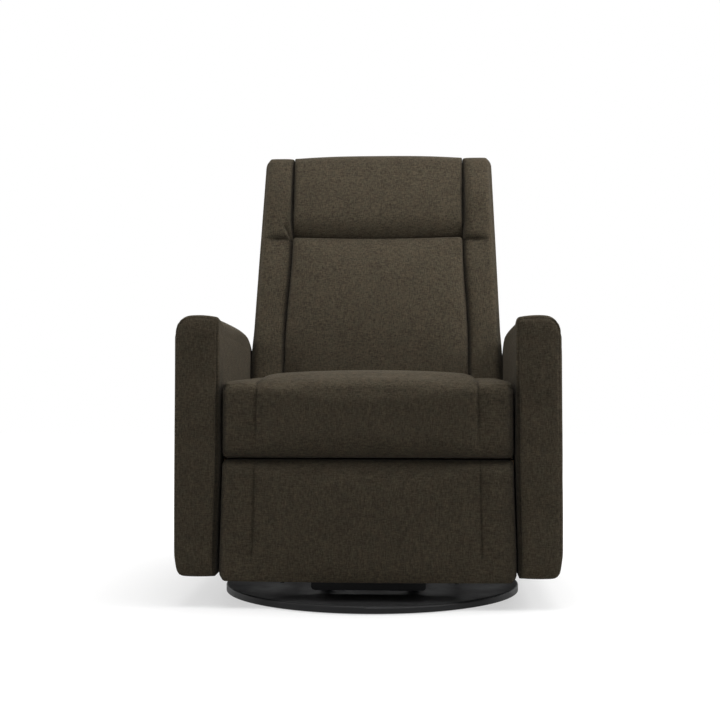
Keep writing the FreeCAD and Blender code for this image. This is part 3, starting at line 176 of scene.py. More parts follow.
class Graph:
    """A material's node tree, with short calls for the nodes used here."""

    def __init__(self, name):
        self.material = bpy.data.materials.new(name)
        self.material.use_nodes = True
        self.tree = self.material.node_tree
        self.shader = self.tree.nodes["Principled BSDF"]
        self.coordinates = self.tree.nodes.new("ShaderNodeTexCoord")

    def add(self, kind, **settings):
        made = self.tree.nodes.new(kind)
        for key, value in settings.items():
            setattr(made, key, value)
        return made

    def wire(self, start, end):
        self.tree.links.new(start, end)

    def feed(self, socket, value):
        if hasattr(value, "is_output"):
            self.wire(value, socket)
        else:
            socket.default_value = value

    def math(self, operation, first, second=0.0):
        made = self.add("ShaderNodeMath", operation=operation)
        self.feed(made.inputs[0], first)
        self.feed(made.inputs[1], second)
        return made.outputs[0]

    def noise(self, scale, detail, roughness=0.5, distortion=0.0, stretch=(1, 1, 1)):
        """Noise over the object's own coordinates, times a scale along each axis."""
        made = self.add("ShaderNodeTexNoise")
        mapping = self.add("ShaderNodeMapping")
        self.wire(self.coordinates.outputs["Object"], mapping.inputs["Vector"])
        mapping.inputs["Scale"].default_value = stretch
        self.wire(mapping.outputs[0], made.inputs["Vector"])
        made.inputs["Scale"].default_value = scale
        made.inputs["Detail"].default_value = detail
        made.inputs["Roughness"].default_value = roughness
        made.inputs["Distortion"].default_value = distortion
        return made.outputs[0]

    def between(self, value, low, high, new_low, new_high):
        made = self.add("ShaderNodeMapRange")
        self.feed(made.inputs["Value"], value)
        for name, number in (("From Min", low), ("From Max", high), ("To Min", new_low),
                             ("To Max", new_high)):
            made.inputs[name].default_value = number
        return made.outputs[0]

    def grey(self, value):
        """A value as a grey colour."""
        made = self.add("ShaderNodeCombineColor")
        for socket in made.inputs:
            self.wire(value, socket)
        return made.outputs[0]

    def mix(self, factor, first, second, blend="MIX"):
        made = self.add("ShaderNodeMix", data_type="RGBA", blend_type=blend)
        self.feed(made.inputs["Factor"], factor)
        self.feed(made.inputs["A"], first)
        self.feed(made.inputs["B"], second)
        return made.outputs["Result"]

    def bump(self, height, distance, strength, under=None):
        made = self.add("ShaderNodeBump")
        made.inputs["Distance"].default_value = distance
        made.inputs["Strength"].default_value = strength
        self.wire(height, made.inputs["Height"])
        if under is not None:
            self.wire(under, made.inputs["Normal"])
        return made.outputs[0]

    def finish(self, color, roughness, normal=None, **uniform):
        self.feed(self.shader.inputs["Base Color"], color)
        self.feed(self.shader.inputs["Roughness"], roughness)
        if normal is not None:
            self.wire(normal, self.shader.inputs["Normal"])
        for name, value in uniform.items():
            self.shader.inputs[name.replace("_", " ")].default_value = value
        return self.material


def rgb(red, green, blue):
    return (red, green, blue, 1.0)


WEAVE_PITCH = 0.0021      # metres from thread to thread
WEAVE_WOBBLE = 5.0        # radians that the threads wander
# at the seam attribute's full value the cloth is painted this much as bright: painted shade,
# deepest in the depth of a seam
DEEPEST_PAINTED_SHADE = 0.4          # how bright the cloth is in the depth of a seam


def weave_height(graph):
    """Threads over and under each other: a wave along each axis that lies in the face."""
    wobble = graph.noise(90, 1.0)
    place = graph.add("ShaderNodeSeparateXYZ")
    graph.wire(graph.coordinates.outputs["Object"], place.inputs[0])
    face = graph.add("ShaderNodeSeparateXYZ")
    graph.wire(graph.coordinates.outputs["Normal"], face.inputs[0])
    total = None
    for axis in range(3):
        turns = graph.math("MULTIPLY", place.outputs[axis], 2 * math.pi / WEAVE_PITCH)
        turns = graph.math("ADD", turns, graph.math("MULTIPLY", wobble, WEAVE_WOBBLE))
        wave = graph.math("SINE", turns)
        square = graph.math("MULTIPLY", face.outputs[axis], face.outputs[axis])
        share = graph.math("SUBTRACT", 1.0, square)
        part = graph.math("MULTIPLY", wave, share)
        total = part if total is None else graph.math("ADD", total, part)
    return total


def cloth_material(name, tone):
    """Heathered woven wool-like cloth: mottled yarns, slubs, a weave and a soft nap."""
    graph = Graph(name)
    across = graph.noise(1.0, 2.0, 0.6, stretch=(105, 105, 560))
    along = graph.noise(1.0, 2.0, 0.6, stretch=(560, 560, 105))
    yarn = graph.math("ADD", across, along)
    fleck = graph.noise(560, 2.0, 0.6)
    cloud = graph.noise(14, 3.0, 0.55)
    threads = weave_height(graph)
    # the seam attribute is painted shade: darker in the seams' creases and in soft bands where
    # parts press close or shade one another
    seam = graph.add("ShaderNodeAttribute", attribute_name="seam").outputs["Fac"]
    value = graph.between(yarn, 0.72, 1.28, 0.52, 1.48)
    # each source's range, and how bright the cloth is at both its ends
    for source, low, high, at_low, at_high in (
            (fleck, 0.3, 0.7, 0.84, 1.16), (cloud, 0.3, 0.7, 0.94, 1.06),
            (threads, -2.0, 2.0, 0.85, 1.15), (seam, 0.0, 1.0, 1.0, DEEPEST_PAINTED_SHADE)):
        value = graph.math("MULTIPLY", value, graph.between(source, low, high, at_low, at_high))
    warm = graph.noise(60, 3.0, 0.7)
    cool_tone = np.multiply(tone, (0.97, 1.0, 0.99))
    warm_tone = np.multiply(tone, (1.04, 1.0, 0.98))
    share = graph.between(warm, 0.35, 0.65, 0.0, 1.0)
    hue = graph.mix(share, rgb(*cool_tone), rgb(*warm_tone))
    color = graph.mix(1.0, hue, graph.grey(value), "MULTIPLY")
    weave = graph.bump(threads, distance=0.00035, strength=0.6)
    nap = graph.bump(graph.noise(1500, 2.0, 0.7), distance=0.0005, strength=0.5, under=weave)
    slub = graph.bump(yarn, distance=0.0012, strength=0.6, under=nap)
    return graph.finish(color, 0.95, slub, Sheen_Weight=0.03, Sheen_Roughness=0.5,
                        Specular_IOR_Level=0.1)


def cambric_material():
    """Thin black non-woven cloth, as on the underside of a chair."""
    graph = Graph("cambric")
    dots = graph.noise(700, 2.0, 0.6)
    value = graph.between(dots, 0.3, 0.7, 0.010, 0.024)
    return graph.finish(graph.grey(value), 0.9, graph.bump(dots, distance=0.0004, strength=0.6))


def painted_material(name, tone, roughness, orange_peel, gloss):
    """Powder coat or lacquer: faint orange peel, dust and worn, slightly duller patches."""
    graph = Graph(name)
    peel = graph.noise(420, 1.0)
    patch = graph.noise(14, 3.0, 0.6)
    dust = graph.noise(900, 1.0, 0.7)
    light = tuple(channel * 1.5 + 0.004 for channel in tone)
    color = graph.mix(graph.between(dust, 0.62, 0.75, 0.0, 0.5), rgb(*tone), rgb(*light))
    rough = graph.between(patch, 0.3, 0.7, roughness * 0.85, roughness * 1.2)
    return graph.finish(color, rough, graph.bump(peel, distance=orange_peel, strength=0.5),
                        Specular_IOR_Level=gloss)


def metal_material(name, tone, roughness, grain):
    """Bare or plated steel with fine drawn grain and faint tarnish."""
    graph = Graph(name)
    drawn = graph.noise(1.0, 2.0, 0.6, stretch=grain)
    tarnish = graph.noise(60, 3.0, 0.6)
    dark = tuple(channel * 0.72 for channel in tone)
    color = graph.mix(graph.between(tarnish, 0.35, 0.7, 0.0, 0.7), rgb(*tone), rgb(*dark))
    rough = graph.between(drawn, 0.3, 0.7, roughness * 0.75, roughness * 1.3)
    return graph.finish(color, rough, graph.bump(drawn, distance=0.00008, strength=0.5),
                        Metallic=1.0)


def plywood_material():
    """Birch plywood: long grain on the faces and thin plies on the edges."""
    graph = Graph("plywood")
    grain = graph.noise(1.0, 4.0, 0.65, 0.4, stretch=(45, 6, 45))
    fine = graph.noise(1.0, 2.0, 0.6, stretch=(900, 60, 900))
    color = graph.mix(graph.between(grain, 0.35, 0.68, 0.0, 1.0), rgb(0.56, 0.41, 0.25),
                      rgb(0.40, 0.26, 0.14))
    color = graph.mix(graph.between(fine, 0.4, 0.7, 0.0, 0.4), color, rgb(0.30, 0.19, 0.10))
    rough = graph.between(fine, 0.3, 0.7, 0.5, 0.7)
    return graph.finish(color, rough, graph.bump(fine, distance=0.0002, strength=0.5))


def moulded_material(name, tone, roughness, texture):
    """Moulded plastic or rubber with a fine grained skin."""
    graph = Graph(name)
    skin = graph.noise(1400, 1.0, 0.6)
    cloud = graph.noise(25, 2.0)
    light = tuple(channel * 1.35 + 0.002 for channel in tone)
    color = graph.mix(graph.between(cloud, 0.3, 0.7, 0.0, 1.0), rgb(*tone), rgb(*light))
    rough = graph.between(skin, 0.3, 0.7, roughness * 0.9, roughness * 1.1)
    return graph.finish(color, rough, graph.bump(skin, distance=texture, strength=0.6),
                        Specular_IOR_Level=0.3)


CLOTH_TONE = (0.068, 0.0555, 0.0375)
# tone, roughness, depth of the orange peel (m), gloss
PAINTS = {
    "black_steel": ((0.007, 0.007, 0.0073), 0.4, 0.00012, 0.14),
    "black_lacquer": ((0.011, 0.011, 0.0114), 0.48, 0.00004, 0.21),
}
# tone, roughness, scale of the drawn grain along each axis
METALS = {
    "zinc_steel": ((0.56, 0.56, 0.54), 0.30, (300, 300, 300)),
    "spring_steel": ((0.30, 0.29, 0.28), 0.38, (40, 500, 40)),
}
# tone, roughness, depth of the moulded texture (m)
MOULDED = {
    "glide_rubber": ((0.018, 0.018, 0.018), 0.75, 0.0002),
    "clip_plastic": ((0.66, 0.65, 0.60), 0.45, 0.0001),
    "black_plastic": ((0.011, 0.011, 0.0117), 0.5, 0.00015),
}
MATERIALS = {"upholstery": cloth_material("cloth", CLOTH_TONE), "plywood": plywood_material()}
for table, make_material in ((PAINTS, painted_material), (METALS, metal_material),
                             (MOULDED, moulded_material)):
    for slot, settings in table.items():
        MATERIALS[slot] = make_material(slot, *settings)
CAMBRIC = cambric_material()


def dress_nodes():
    """Gives each node of the frame its slot's material."""
    for part in frame["record"]["subparts"]:
        thing = frame["nodes"][part["node"]]
        thing.data.materials.clear()
        thing.data.materials.append(MATERIALS[part["material_slot"]])


# ------------ gridded closed forms

def grid_lines(low, high, step, marks=()):
    """Values from low to high, about step apart, that include every mark between them."""
    fixed = sorted({low, high, *(mark for mark in marks if low < mark < high)})
    values = [fixed[0]]
    for start, end in zip(fixed, fixed[1:]):
        count = max(1, round((end - start) / step))
        values += [start + (end - start) * part / count for part in range(1, count + 1)]
    return values


def beside(*places, spread=(0.0, 1.6, 4.5, 9.0)):
    """Grid lines at each place and on both sides of it."""
    return [place + side * gap for place in places for gap in spread for side in (-1, 1)]


def within(radius, *faces):
    """Grid lines over a rounded edge; faces are (value, way into the solid)."""
    return [value + way * radius * part for value, way in faces
            for part in (0.12, 0.3, 0.55, 0.8, 1.0)]


def box_surface(xs, ys, zs):
    """Points and outward faces of a box's surface, gridded at the given values."""
    counts = (len(xs), len(ys), len(zs))
    index, points, faces = {}, [], []

    def at(i, j, k):
        key = (i, j, k)
        if key not in index:
            index[key] = len(points)
            points.append((xs[i], ys[j], zs[k]))
        return index[key]

    for axis in range(3):
        first, second = [other for other in range(3) if other != axis]
        for end in (0, counts[axis] - 1):
            for one in range(counts[first] - 1):
                for two in range(counts[second] - 1):
                    corners = []
                    for step_one, step_two in ((0, 0), (1, 0), (1, 1), (0, 1)):
                        key = [0, 0, 0]
                        key[axis] = end
                        key[first] = one + step_one
                        key[second] = two + step_two
                        corners.append(at(*key))
                    # the turn from the first to the second axis points outwards at the
                    # high end for X and Z, and at the low end for Y
                    outwards = (end > 0) != (axis == Y)
                    faces.append(corners if outwards else corners[::-1])
    return np.array(points, float), np.array(faces, int)


def depth_in(points, face):
    """How far the points lie inside a face (axis, value, way into the solid)."""
    axis, value, way = face
    return (points[:, axis] - value) * way


def ends(half):
    """Both ends of a width, as (value, way into the solid)."""
    return (-half, 1), (half, -1)


def sides(half):
    """Both side faces of a form that wide."""
    return [(X, *end) for end in ends(half)]


def at_face(points, face, reach):
    """1 on a face, fading to 0 at that depth behind it."""
    return 1 - smooth(depth_in(points, face), 0, reach)


def round_edge(points, first, second, radius):
    """Rounds the edge between two faces: its square corner becomes a quarter circle."""
    deep_first, deep_second = depth_in(points, first), depth_in(points, second)
    near = (deep_first < radius) & (deep_second < radius)
    radius = np.broadcast_to(radius, near.shape)[near]
    one = radius - deep_first[near]
    two = radius - deep_second[near]
    shrink = np.maximum(one, two) / np.maximum(np.hypot(one, two), 1e-9)
    for face, reach in ((first, one), (second, two)):
        axis, value, way = face
        points[near, axis] = value + way * (radius - reach * shrink)


def dome(distance, margin):
    """0 at a seam, rising like a quarter circle to 1 at the margin and beyond."""
    part = np.clip(1 - np.asarray(distance) / margin, 0, 1)
    return np.sqrt(1 - part * part)


def smooth(value, low, high):
    """0 up to low, rising smoothly to 1 at high."""
    part = np.clip((np.asarray(value) - low) / (high - low), 0, 1)
    return part * part * (3 - 2 * part)


def bell(distance, width):
    """1 at no distance, and about a third at the width."""
    return np.exp(-(np.asarray(distance) / width) ** 2)


def to_line(points, start, end):
    """Distance of flat points from the stretch between two of them."""
    start, way = np.array(start, float), np.subtract(end, start).astype(float)
    part = np.clip((points - start) @ way / (way @ way), 0, 1)
    return np.linalg.norm(points - start - part[:, None] * way, axis=1)


def normals_of(points, faces):
    corners = points[faces]
    across = np.cross(corners[:, 2] - corners[:, 0], corners[:, 3] - corners[:, 1])
    total = np.zeros_like(points)
    for corner in range(4):
        np.add.at(total, faces[:, corner], across)
    return total / np.maximum(np.linalg.norm(total, axis=1, keepdims=True), 1e-12)


class Form:
    """A gridded closed form that becomes one soft piece."""

    def __init__(self, name, xs, ys, zs):
        self.name = name
        self.points, self.faces = box_surface(xs, ys, zs)
        self.drawn = self.points.copy()      # where each point was on the plain box
        # painted shade, in the seams' creases and in soft bands; it becomes the seam attribute
        self.seam = np.zeros(len(self.points))
        self.crease = np.zeros(len(self.points))
        self.pinned = np.zeros(len(self.points), bool)

    def add_seam(self, distance, depth, width=3.0, strength=1.0):
        """Marks a seam: a crease of that depth, with painted shade along its line, and held still.
        """
        distance = np.asarray(distance)
        strength = np.broadcast_to(strength, distance.shape)
        self.crease = np.maximum(self.crease, depth * strength * bell(distance, width=width))
        self.seam = np.maximum(self.seam, strength * bell(distance, width=1.7))
        self.pinned |= (distance < 1.0) & (strength > 0.25)

    def shade(self, distance, width, strength):
        """Paints shade into the colour: a broad, soft darker band, as where two pieces press
        together.
        """
        self.seam = np.maximum(self.seam, strength * bell(distance, width=width))

    def hold(self, where):
        self.pinned |= where

    def set_side(self, sign):
        """Mirrors the form to the left where sign is -1."""
        if sign < 0:
            self.points[:, X] *= -1
            self.faces = self.faces[:, ::-1]

    def carve(self):
        self.points -= normals_of(self.points, self.faces) * self.crease[:, None]

    def make(self, material, turn=None, bottom=None):
        """The object, in metres, with its seams and painted shade as an attribute."""
        mesh = bpy.data.meshes.new(self.name)
        mesh.from_pydata((self.points * MM).tolist(), [], self.faces.tolist())
        mesh.materials.append(material)
        if bottom is not None:
            mesh.materials.append(CAMBRIC)
            mesh.polygons.foreach_set("material_index", bottom.astype(np.int32))
        mesh.polygons.foreach_set("use_smooth", np.ones(len(self.faces), bool))
        attribute = mesh.attributes.new("seam", "FLOAT", "POINT")
        attribute.data.foreach_set("value", self.seam.astype(np.float32))
        thing = bpy.data.objects.new(self.name, mesh)
        scene.collection.objects.link(thing)
        if turn is not None:
            thing.matrix_world = turn
        self.thing = thing
        return thing


PUFF_FRAMES = 20
PUFF_SLACK = 0.01         # how much longer the cloth is than the drawn form, as a share
EASE_ROUNDS = 3
puffed = []


def puff(form, pressure, cap):
    """Sets a form up for the cloth simulation; cap is how far a point may move, in mm."""
    thing = form.thing
    group = thing.vertex_groups.new(name="held")
    group.add(np.nonzero(form.pinned)[0].tolist(), 1.0, "REPLACE")
    modifier = thing.modifiers.new("puff", "CLOTH")
    cloth = modifier.settings
    cloth.quality = 4
    cloth.mass = 0.15
    cloth.tension_stiffness = cloth.compression_stiffness = 8
    cloth.shear_stiffness = 4
    cloth.bending_stiffness = 3
    cloth.tension_damping = cloth.compression_damping = cloth.shear_damping = 12
    cloth.bending_damping = 2
    cloth.air_damping = 4
    cloth.vertex_group_mass = "held"
    cloth.use_pressure = True
    cloth.uniform_pressure_force = pressure
    cloth.shrink_min = -PUFF_SLACK
    cloth.effector_weights.gravity = 0
    modifier.collision_settings.use_collision = False
    modifier.point_cache.frame_start = 1
    modifier.point_cache.frame_end = PUFF_FRAMES
    puffed.append((form, cap))


def eased(form, shift):
    """The moves, each averaged with its neighbours', with the held points kept still."""
    count = np.zeros(len(shift))
    np.add.at(count, form.faces.ravel(), 1)
    for _ in range(EASE_ROUNDS):
        total = np.zeros_like(shift)
        mean = shift[form.faces].mean(axis=1)
        for corner in range(4):
            np.add.at(total, form.faces[:, corner], mean)
        shift = total / count[:, None]
        shift[form.pinned] = 0
    return shift


def run_puffing():
    """Steps all the cloth together, then keeps each result within its cap."""
    scene.frame_start, scene.frame_end = 1, PUFF_FRAMES
    for number in range(1, PUFF_FRAMES + 1):
        scene.frame_set(number)
    layers = bpy.context.evaluated_depsgraph_get()
    for form, cap in puffed:
        moved = np.empty(len(form.points) * 3, np.float32)
        form.thing.evaluated_get(layers).data.vertices.foreach_get("co", moved)
        shift = eased(form, moved.reshape(-1, 3) / MM - form.points)
        length = np.linalg.norm(shift, axis=1, keepdims=True)
        print(f"{form.name}: largest move {length.max():.1f} mm, mean {length.mean():.1f}")
        move = shift * cap * np.tanh(length / cap) / np.maximum(length, 1e-9)
        form.points = form.points + move
    for form, _ in puffed:
        thing = form.thing
        thing.modifiers.clear()
        thing.vertex_groups.clear()
        thing.data.vertices.foreach_set("co", (form.points * MM).astype(np.float32).ravel())
        thing.data.update()
        rounder = thing.modifiers.new("round", "SUBSURF")
        rounder.levels = rounder.render_levels = 1
    scene.frame_set(1)


# ------------ seat and footrest

SEAT_HALF = 290.8
SEAT_SEAM = 219.5
SEAT_FRONT = -262.0
# the painted shade on the arms centres on this corner
SEAT_CORNER = (-235.0, 450.0)   # y and z of the corner that presses on the arms
ON_FACE = 0.1                   # a point nearer than this to a face lies on it
FAR = 999.0                     # a distance that no seam or shade reaches


def finish_soft(form, body, node, turn=None, bottom=None):
    """Makes the form's piece, in place of a node of the frame."""
    thing = form.make(MATERIALS["upholstery"], turn, bottom)
    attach(thing, body)
    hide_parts(node)


def shade_sides(form):
    """Paints shade on both sides, where the arms stand close, the right one more widely."""
    x = form.drawn[:, X]
    form.shade(SEAT_HALF + x, width=6, strength=0.35)
    form.shade(SEAT_HALF - x, width=21, strength=0.5)


def seat_cushion():
    """Box cushion: a crowned middle and two lower side strips, with a rolled front."""
    low, high, front, back = 298.3, 466.0, SEAT_FRONT + 3.5, 142.0
    side_top, slant = 451.0, 46.0
    # how full the middle is along its own middle, how much less at its seams, where its
    # crest lies, and how it falls towards the front
    full, less_at_seam = 15.5, 8.0
    crest_at, crest_reach = -70.0, 230.0
    front_fall, fall_reach = 9.0, 90.0
    xs = grid_lines(-SEAT_HALF, SEAT_HALF, step=7.5,
                    marks=beside(-SEAT_SEAM, SEAT_SEAM) + within(24, *ends(SEAT_HALF)))
    ys = grid_lines(front, back, step=7.5, marks=within(28, (front, 1)))
    zs = grid_lines(low, high, step=7.5, marks=within(26, (low, 1)) + within(28, (high, -1)))
    form = Form("seat_cushion_cloth", xs, ys, zs)
    p, drawn = form.points, form.drawn
    x, y, z = drawn.T
    face, top, bottom = (Y, front, 1), (Z, high, -1), (Z, low, 1)
    for side in sides(SEAT_HALF):
        round_edge(p, face, side, radius=24)
        round_edge(p, top, side, radius=12)
        round_edge(p, bottom, side, radius=10)
    round_edge(p, face, top, radius=24)
    round_edge(p, face, bottom, radius=24)
    round_edge(p, (Y, back, -1), top, radius=18)
    out = np.abs(x)
    middle = out < SEAT_SEAM
    to_seam = np.abs(SEAT_SEAM - out)
    to_edge = np.where(middle, SEAT_SEAM - out, np.minimum(out - SEAT_SEAM, SEAT_HALF - out))
    # heights: each section domes between its seams, and the middle is the highest
    along = np.cos(np.clip((y - crest_at) / crest_reach, -1, 1) * math.pi / 2)
    crown = (full - less_at_seam * (out / SEAT_SEAM) ** 2) * dome(to_seam, margin=13) + 3.0 * along
    strip = 3.0 * dome(SEAT_HALF - out, margin=34) - 2.0
    # the top falls a little before it rolls over the front
    crown -= front_fall * np.clip(1 - depth_in(drawn, face) / fall_reach, 0, 1) ** 2
    rise = (p[:, Z] - low) / (high - low)
    p[:, Z] = low + rise * (side_top + np.where(middle, crown, strip) - low)
    # the front is fuller in the middle of each section
    ahead = at_face(drawn, face, reach=70)
    swell = np.where(middle, 5.0 * dome(to_edge, margin=45), 2.5 * dome(to_edge, margin=20))
    p[:, Y] -= ahead * swell * dome(z - low, margin=70)
    p[:, Y] += np.clip((p[:, Y] - front) / (back - front), 0, 1) * slant * rise
    # on the front the seams stand a little further apart, and fade towards the bottom
    p[:, X] += np.sign(p[:, X]) * 2.0 * bell(to_seam, width=30) * (1 - smooth(z, 380, 450))
    fading = 0.6 * smooth(z, low + 15, low + 95)
    form.add_seam(to_seam, depth=2.4, strength=np.where(y < back - 1, fading, 0.0))
    shade_sides(form)
    # painted shade along the foot of the front, above the footrest
    form.shade(z - low, width=16, strength=0.35)
    form.hold((z <= low + ON_FACE) | (y >= back - ON_FACE))
    form.hold(out >= SEAT_HALF - ON_FACE)
    form.carve()
    finish_soft(form, "chair", node="seat_cushion")
    puff(form, pressure=1.0, cap=3.0)


def footrest_pad():
    """Padded front of the footrest, with two upright seams that stop above its foot."""
    low, high, front, rear = 54.0, 296.0, SEAT_FRONT + 3.5, -213.0
    seam_at, seam_end = 224.0, 104.0
    widening = 0.020            # towards the foot, as a share
    xs = grid_lines(-SEAT_HALF, SEAT_HALF, step=7.5,
                    marks=beside(-seam_at, seam_at) + within(17, *ends(SEAT_HALF)))
    ys = grid_lines(front, rear, step=9, marks=within(26, (front, 1)))
    zs = grid_lines(low, high, step=7.5, marks=within(18, (low, 1)) + within(26, (high, -1)))
    form = Form("footrest_cloth", xs, ys, zs)
    p, drawn = form.points, form.drawn
    x, y, z = drawn.T
    face, top, bottom = (Y, front, 1), (Z, high, -1), (Z, low, 1)
    for side in sides(SEAT_HALF):
        round_edge(p, bottom, side, radius=15)
        round_edge(p, top, side, radius=12)
        round_edge(p, face, side, radius=17)
    round_edge(p, face, top, radius=26)
    round_edge(p, face, bottom, radius=5)
    out = np.abs(x)
    to_seam = np.abs(out - seam_at)
    edge = np.minimum.reduce([SEAT_HALF - out, z - low, high - z])
    to_rim = np.minimum(SEAT_HALF - out, high - z)
    ahead = at_face(drawn, face, reach=30)
    sewn = smooth(z, seam_end - 12, seam_end + 10)
    to_rim_or_seam = np.where(out < seam_at, to_seam, np.minimum(to_seam, SEAT_HALF - out))
    section = dome(to_rim_or_seam, margin=34)
    p[:, Y] -= ahead * (1.5 + 2.5 * (section * sewn + 1 - sewn)) * dome(to_rim, margin=40)
    droop = 1.5 * (1 - (x / SEAT_HALF) ** 2)
    p[:, Z] -= droop * (1 - smooth(z, low, low + 60))
    p[:, X] *= 1 + widening * (1 - smooth(z, low, high))
    form.add_seam(to_seam, depth=1.6, strength=np.where(y < rear - 1, 0.75 * sewn, 0.0))
    shade_sides(form)
    # painted shadow of the seat's front along the top
    form.shade(high - z, width=26, strength=0.5)
    form.hold((y >= rear - ON_FACE) | (edge < ON_FACE))
    form.carve()
    finish_soft(form, "footrest", node="footrest_pad")
    puff(form, pressure=1.0, cap=3.0)


# ------------ backrest
# Drawn upright with the hinge at the origin: local +Y to the rear, +Z up its length.

BACK_TURN = Matrix.Translation((0, 0.215, 0.235)) @ Matrix.Rotation(math.radians(-16), 4, "X")
HEAD_SEAM, TUCK = 553.5, 550.0
HEAD_HALF = 203.3
LUMBAR_HALF = 215.0
WIDENING = 325.0                # how far below the head seam the middle is widest
PAD_FRONT, PAD_REAR, CAP_REAR = -73.0, 12.0, 49.5
CAP_HEIGHT = 695.5
CAP_LINES = [CAP_HEIGHT - 0.8, CAP_HEIGHT + 0.8]    # a pair of grid lines makes a sharp step
STEP_HALF = 0.7
TUCK_LINES = (0, 1.5, 3.5, 6, 9, 12, 15, 18, 22, 26, 30, 34)
BACK_BOTTOM, TAPER_START, BACK_TOP = 10.0, 296.0, 759.0
BACK_HALF, TAPER = 289.2, 17.0
# the painted shade from the seat and the arms is full up to this height and fades above it
FULL_PAINTED_SHADE_BELOW = 240                  # up to this height the seat and the arms shade the back


def seam_half(height):
    """Half width of the middle of the back at a height."""
    part = 1 - (HEAD_SEAM - np.asarray(height)) / WIDENING
    return LUMBAR_HALF - smooth(part, 0.2, 1.0) * (LUMBAR_HALF - HEAD_HALF)


def taper(height):
    """How much narrower each side of the back is at a height."""
    return np.clip((height - TAPER_START) / (BACK_TOP - TAPER_START), 0, 1) * TAPER


def seam_sag(share):
    """How much higher the head seam is at a share of its half length; it sags in the middle."""
    return 6.0 * share ** 2 - 2.5


def headrest():
    """Head cushion: its foot rolls far under, and its top runs over the posts."""
    low, high, front = HEAD_SEAM + 0.6, 766.0, PAD_FRONT - 3
    xs = grid_lines(-HEAD_HALF, HEAD_HALF, step=7, marks=within(13, *ends(HEAD_HALF)))
    ys = grid_lines(front, CAP_REAR, step=7, marks=within(22, (front, 1)) + [PAD_REAR])
    zs = grid_lines(low, high, step=7,
                    marks=within(7, (low, 1)) + within(22, (high, -1)) + CAP_LINES)
    form = Form("headrest_cloth", xs, ys, zs)
    p, drawn = form.points, form.drawn
    x, y, z = drawn.T
    face, top, bottom = (Y, front, 1), (Z, high, -1), (Z, low, 1)
    for side in sides(HEAD_HALF):
        round_edge(p, face, side, radius=10)
        round_edge(p, top, side, radius=2.5)
    round_edge(p, face, top, radius=22)
    round_edge(p, face, bottom, radius=7)
    round_edge(p, (Y, CAP_REAR, -1), top, radius=8)
    p[(z < CAP_HEIGHT) & (y > PAD_REAR), Y] = PAD_REAR
    across = HEAD_HALF - np.abs(x)
    ahead = at_face(drawn, face, reach=60)
    barrel = 1 - ((2 * z - low - high) / (high - low)) ** 2
    p[:, Y] -= ahead * (11.0 * barrel - 3.0) * dome(across, margin=60)
    # its foot rolls back gently before it turns under
    roll = np.clip(1 - (z - low) / 62.0, 0, 1) ** 2.5
    p[:, Y] += ahead * 20.0 * roll
    p[:, Z] += seam_sag(x / HEAD_HALF) * (1 - smooth(z, low, low + 120))
    arch = 1 - np.abs(x / HEAD_HALF) ** 3
    p[:, Z] += smooth(z, high - 60, high) * (7.0 * arch - 1.5)
    # the corners are drawn in where the side seams meet the head seam
    for sign in (-1, 1):
        corner = np.hypot(x - sign * HEAD_HALF, z - low)
        p[:, Y] += ahead * 5.0 * bell(corner, width=24)
    # painted shade beside the side seams and along the foot
    form.shade(across, width=6, strength=0.2 * ahead)
    form.shade(z - low, width=10, strength=0.35 * ahead)
    form.hold((y >= front + 45) | (across < ON_FACE) | (z < low + 9))
    form.carve()
    finish_soft(form, "back", node="headrest_cushion", turn=BACK_TURN)
    puff(form, pressure=1.6, cap=5.0)


def lumbar_cushion():
    """Main cushion of the back, widening slightly towards the seat."""
    low, high, front = 20.0, HEAD_SEAM - 0.6, PAD_FRONT + 3
    xs = grid_lines(-LUMBAR_HALF, LUMBAR_HALF, step=7.5, marks=within(12, *ends(LUMBAR_HALF)))
    ys = grid_lines(front, PAD_REAR, step=9, marks=within(14, (front, 1)))
    zs = grid_lines(low, high, step=7.5, marks=within(14, (low, 1), (high, -1)))
    form = Form("lumbar_cloth", xs, ys, zs)
    p, drawn = form.points, form.drawn
    x, y, z = drawn.T
    face, top, bottom = (Y, front, 1), (Z, high, -1), (Z, low, 1)
    for side in sides(LUMBAR_HALF):
        round_edge(p, top, side, radius=7)
        round_edge(p, face, side, radius=10)
    round_edge(p, face, top, radius=7)
    round_edge(p, face, bottom, radius=12)
    across = LUMBAR_HALF - np.abs(x)
    ahead = at_face(drawn, face, reach=50)
    swell = 4.0 * dome(across, margin=60) * smooth(high - z, 0, 90) * dome(z - low, margin=60)
    spread = np.where(z < 390, 200, 160)
    belly = 16.0 * bell(z - 390, width=spread) * dome(across, margin=190)
    p[:, Y] -= ahead * (swell + belly)
    p[:, Z] += seam_sag(x / LUMBAR_HALF) * smooth(z, high - 120, high)
    # painted shade beside the side seams, under the headrest's foot, and low down, where the seat
    # and the arms shade the back
    form.shade(across, width=6, strength=0.2 * ahead)
    form.shade(high - z, width=7, strength=0.5 * ahead)
    form.shade(np.maximum(z - FULL_PAINTED_SHADE_BELOW, 0), width=90, strength=0.3 * ahead)
    p[:, X] *= (seam_half(z) - 0.3) / LUMBAR_HALF
    form.hold((y >= front + 35) | (across < ON_FACE) | (z > high - ON_FACE))
    form.carve()
    finish_soft(form, "back", node="back_cushion", turn=BACK_TURN)
    puff(form, pressure=1.0, cap=5.0)


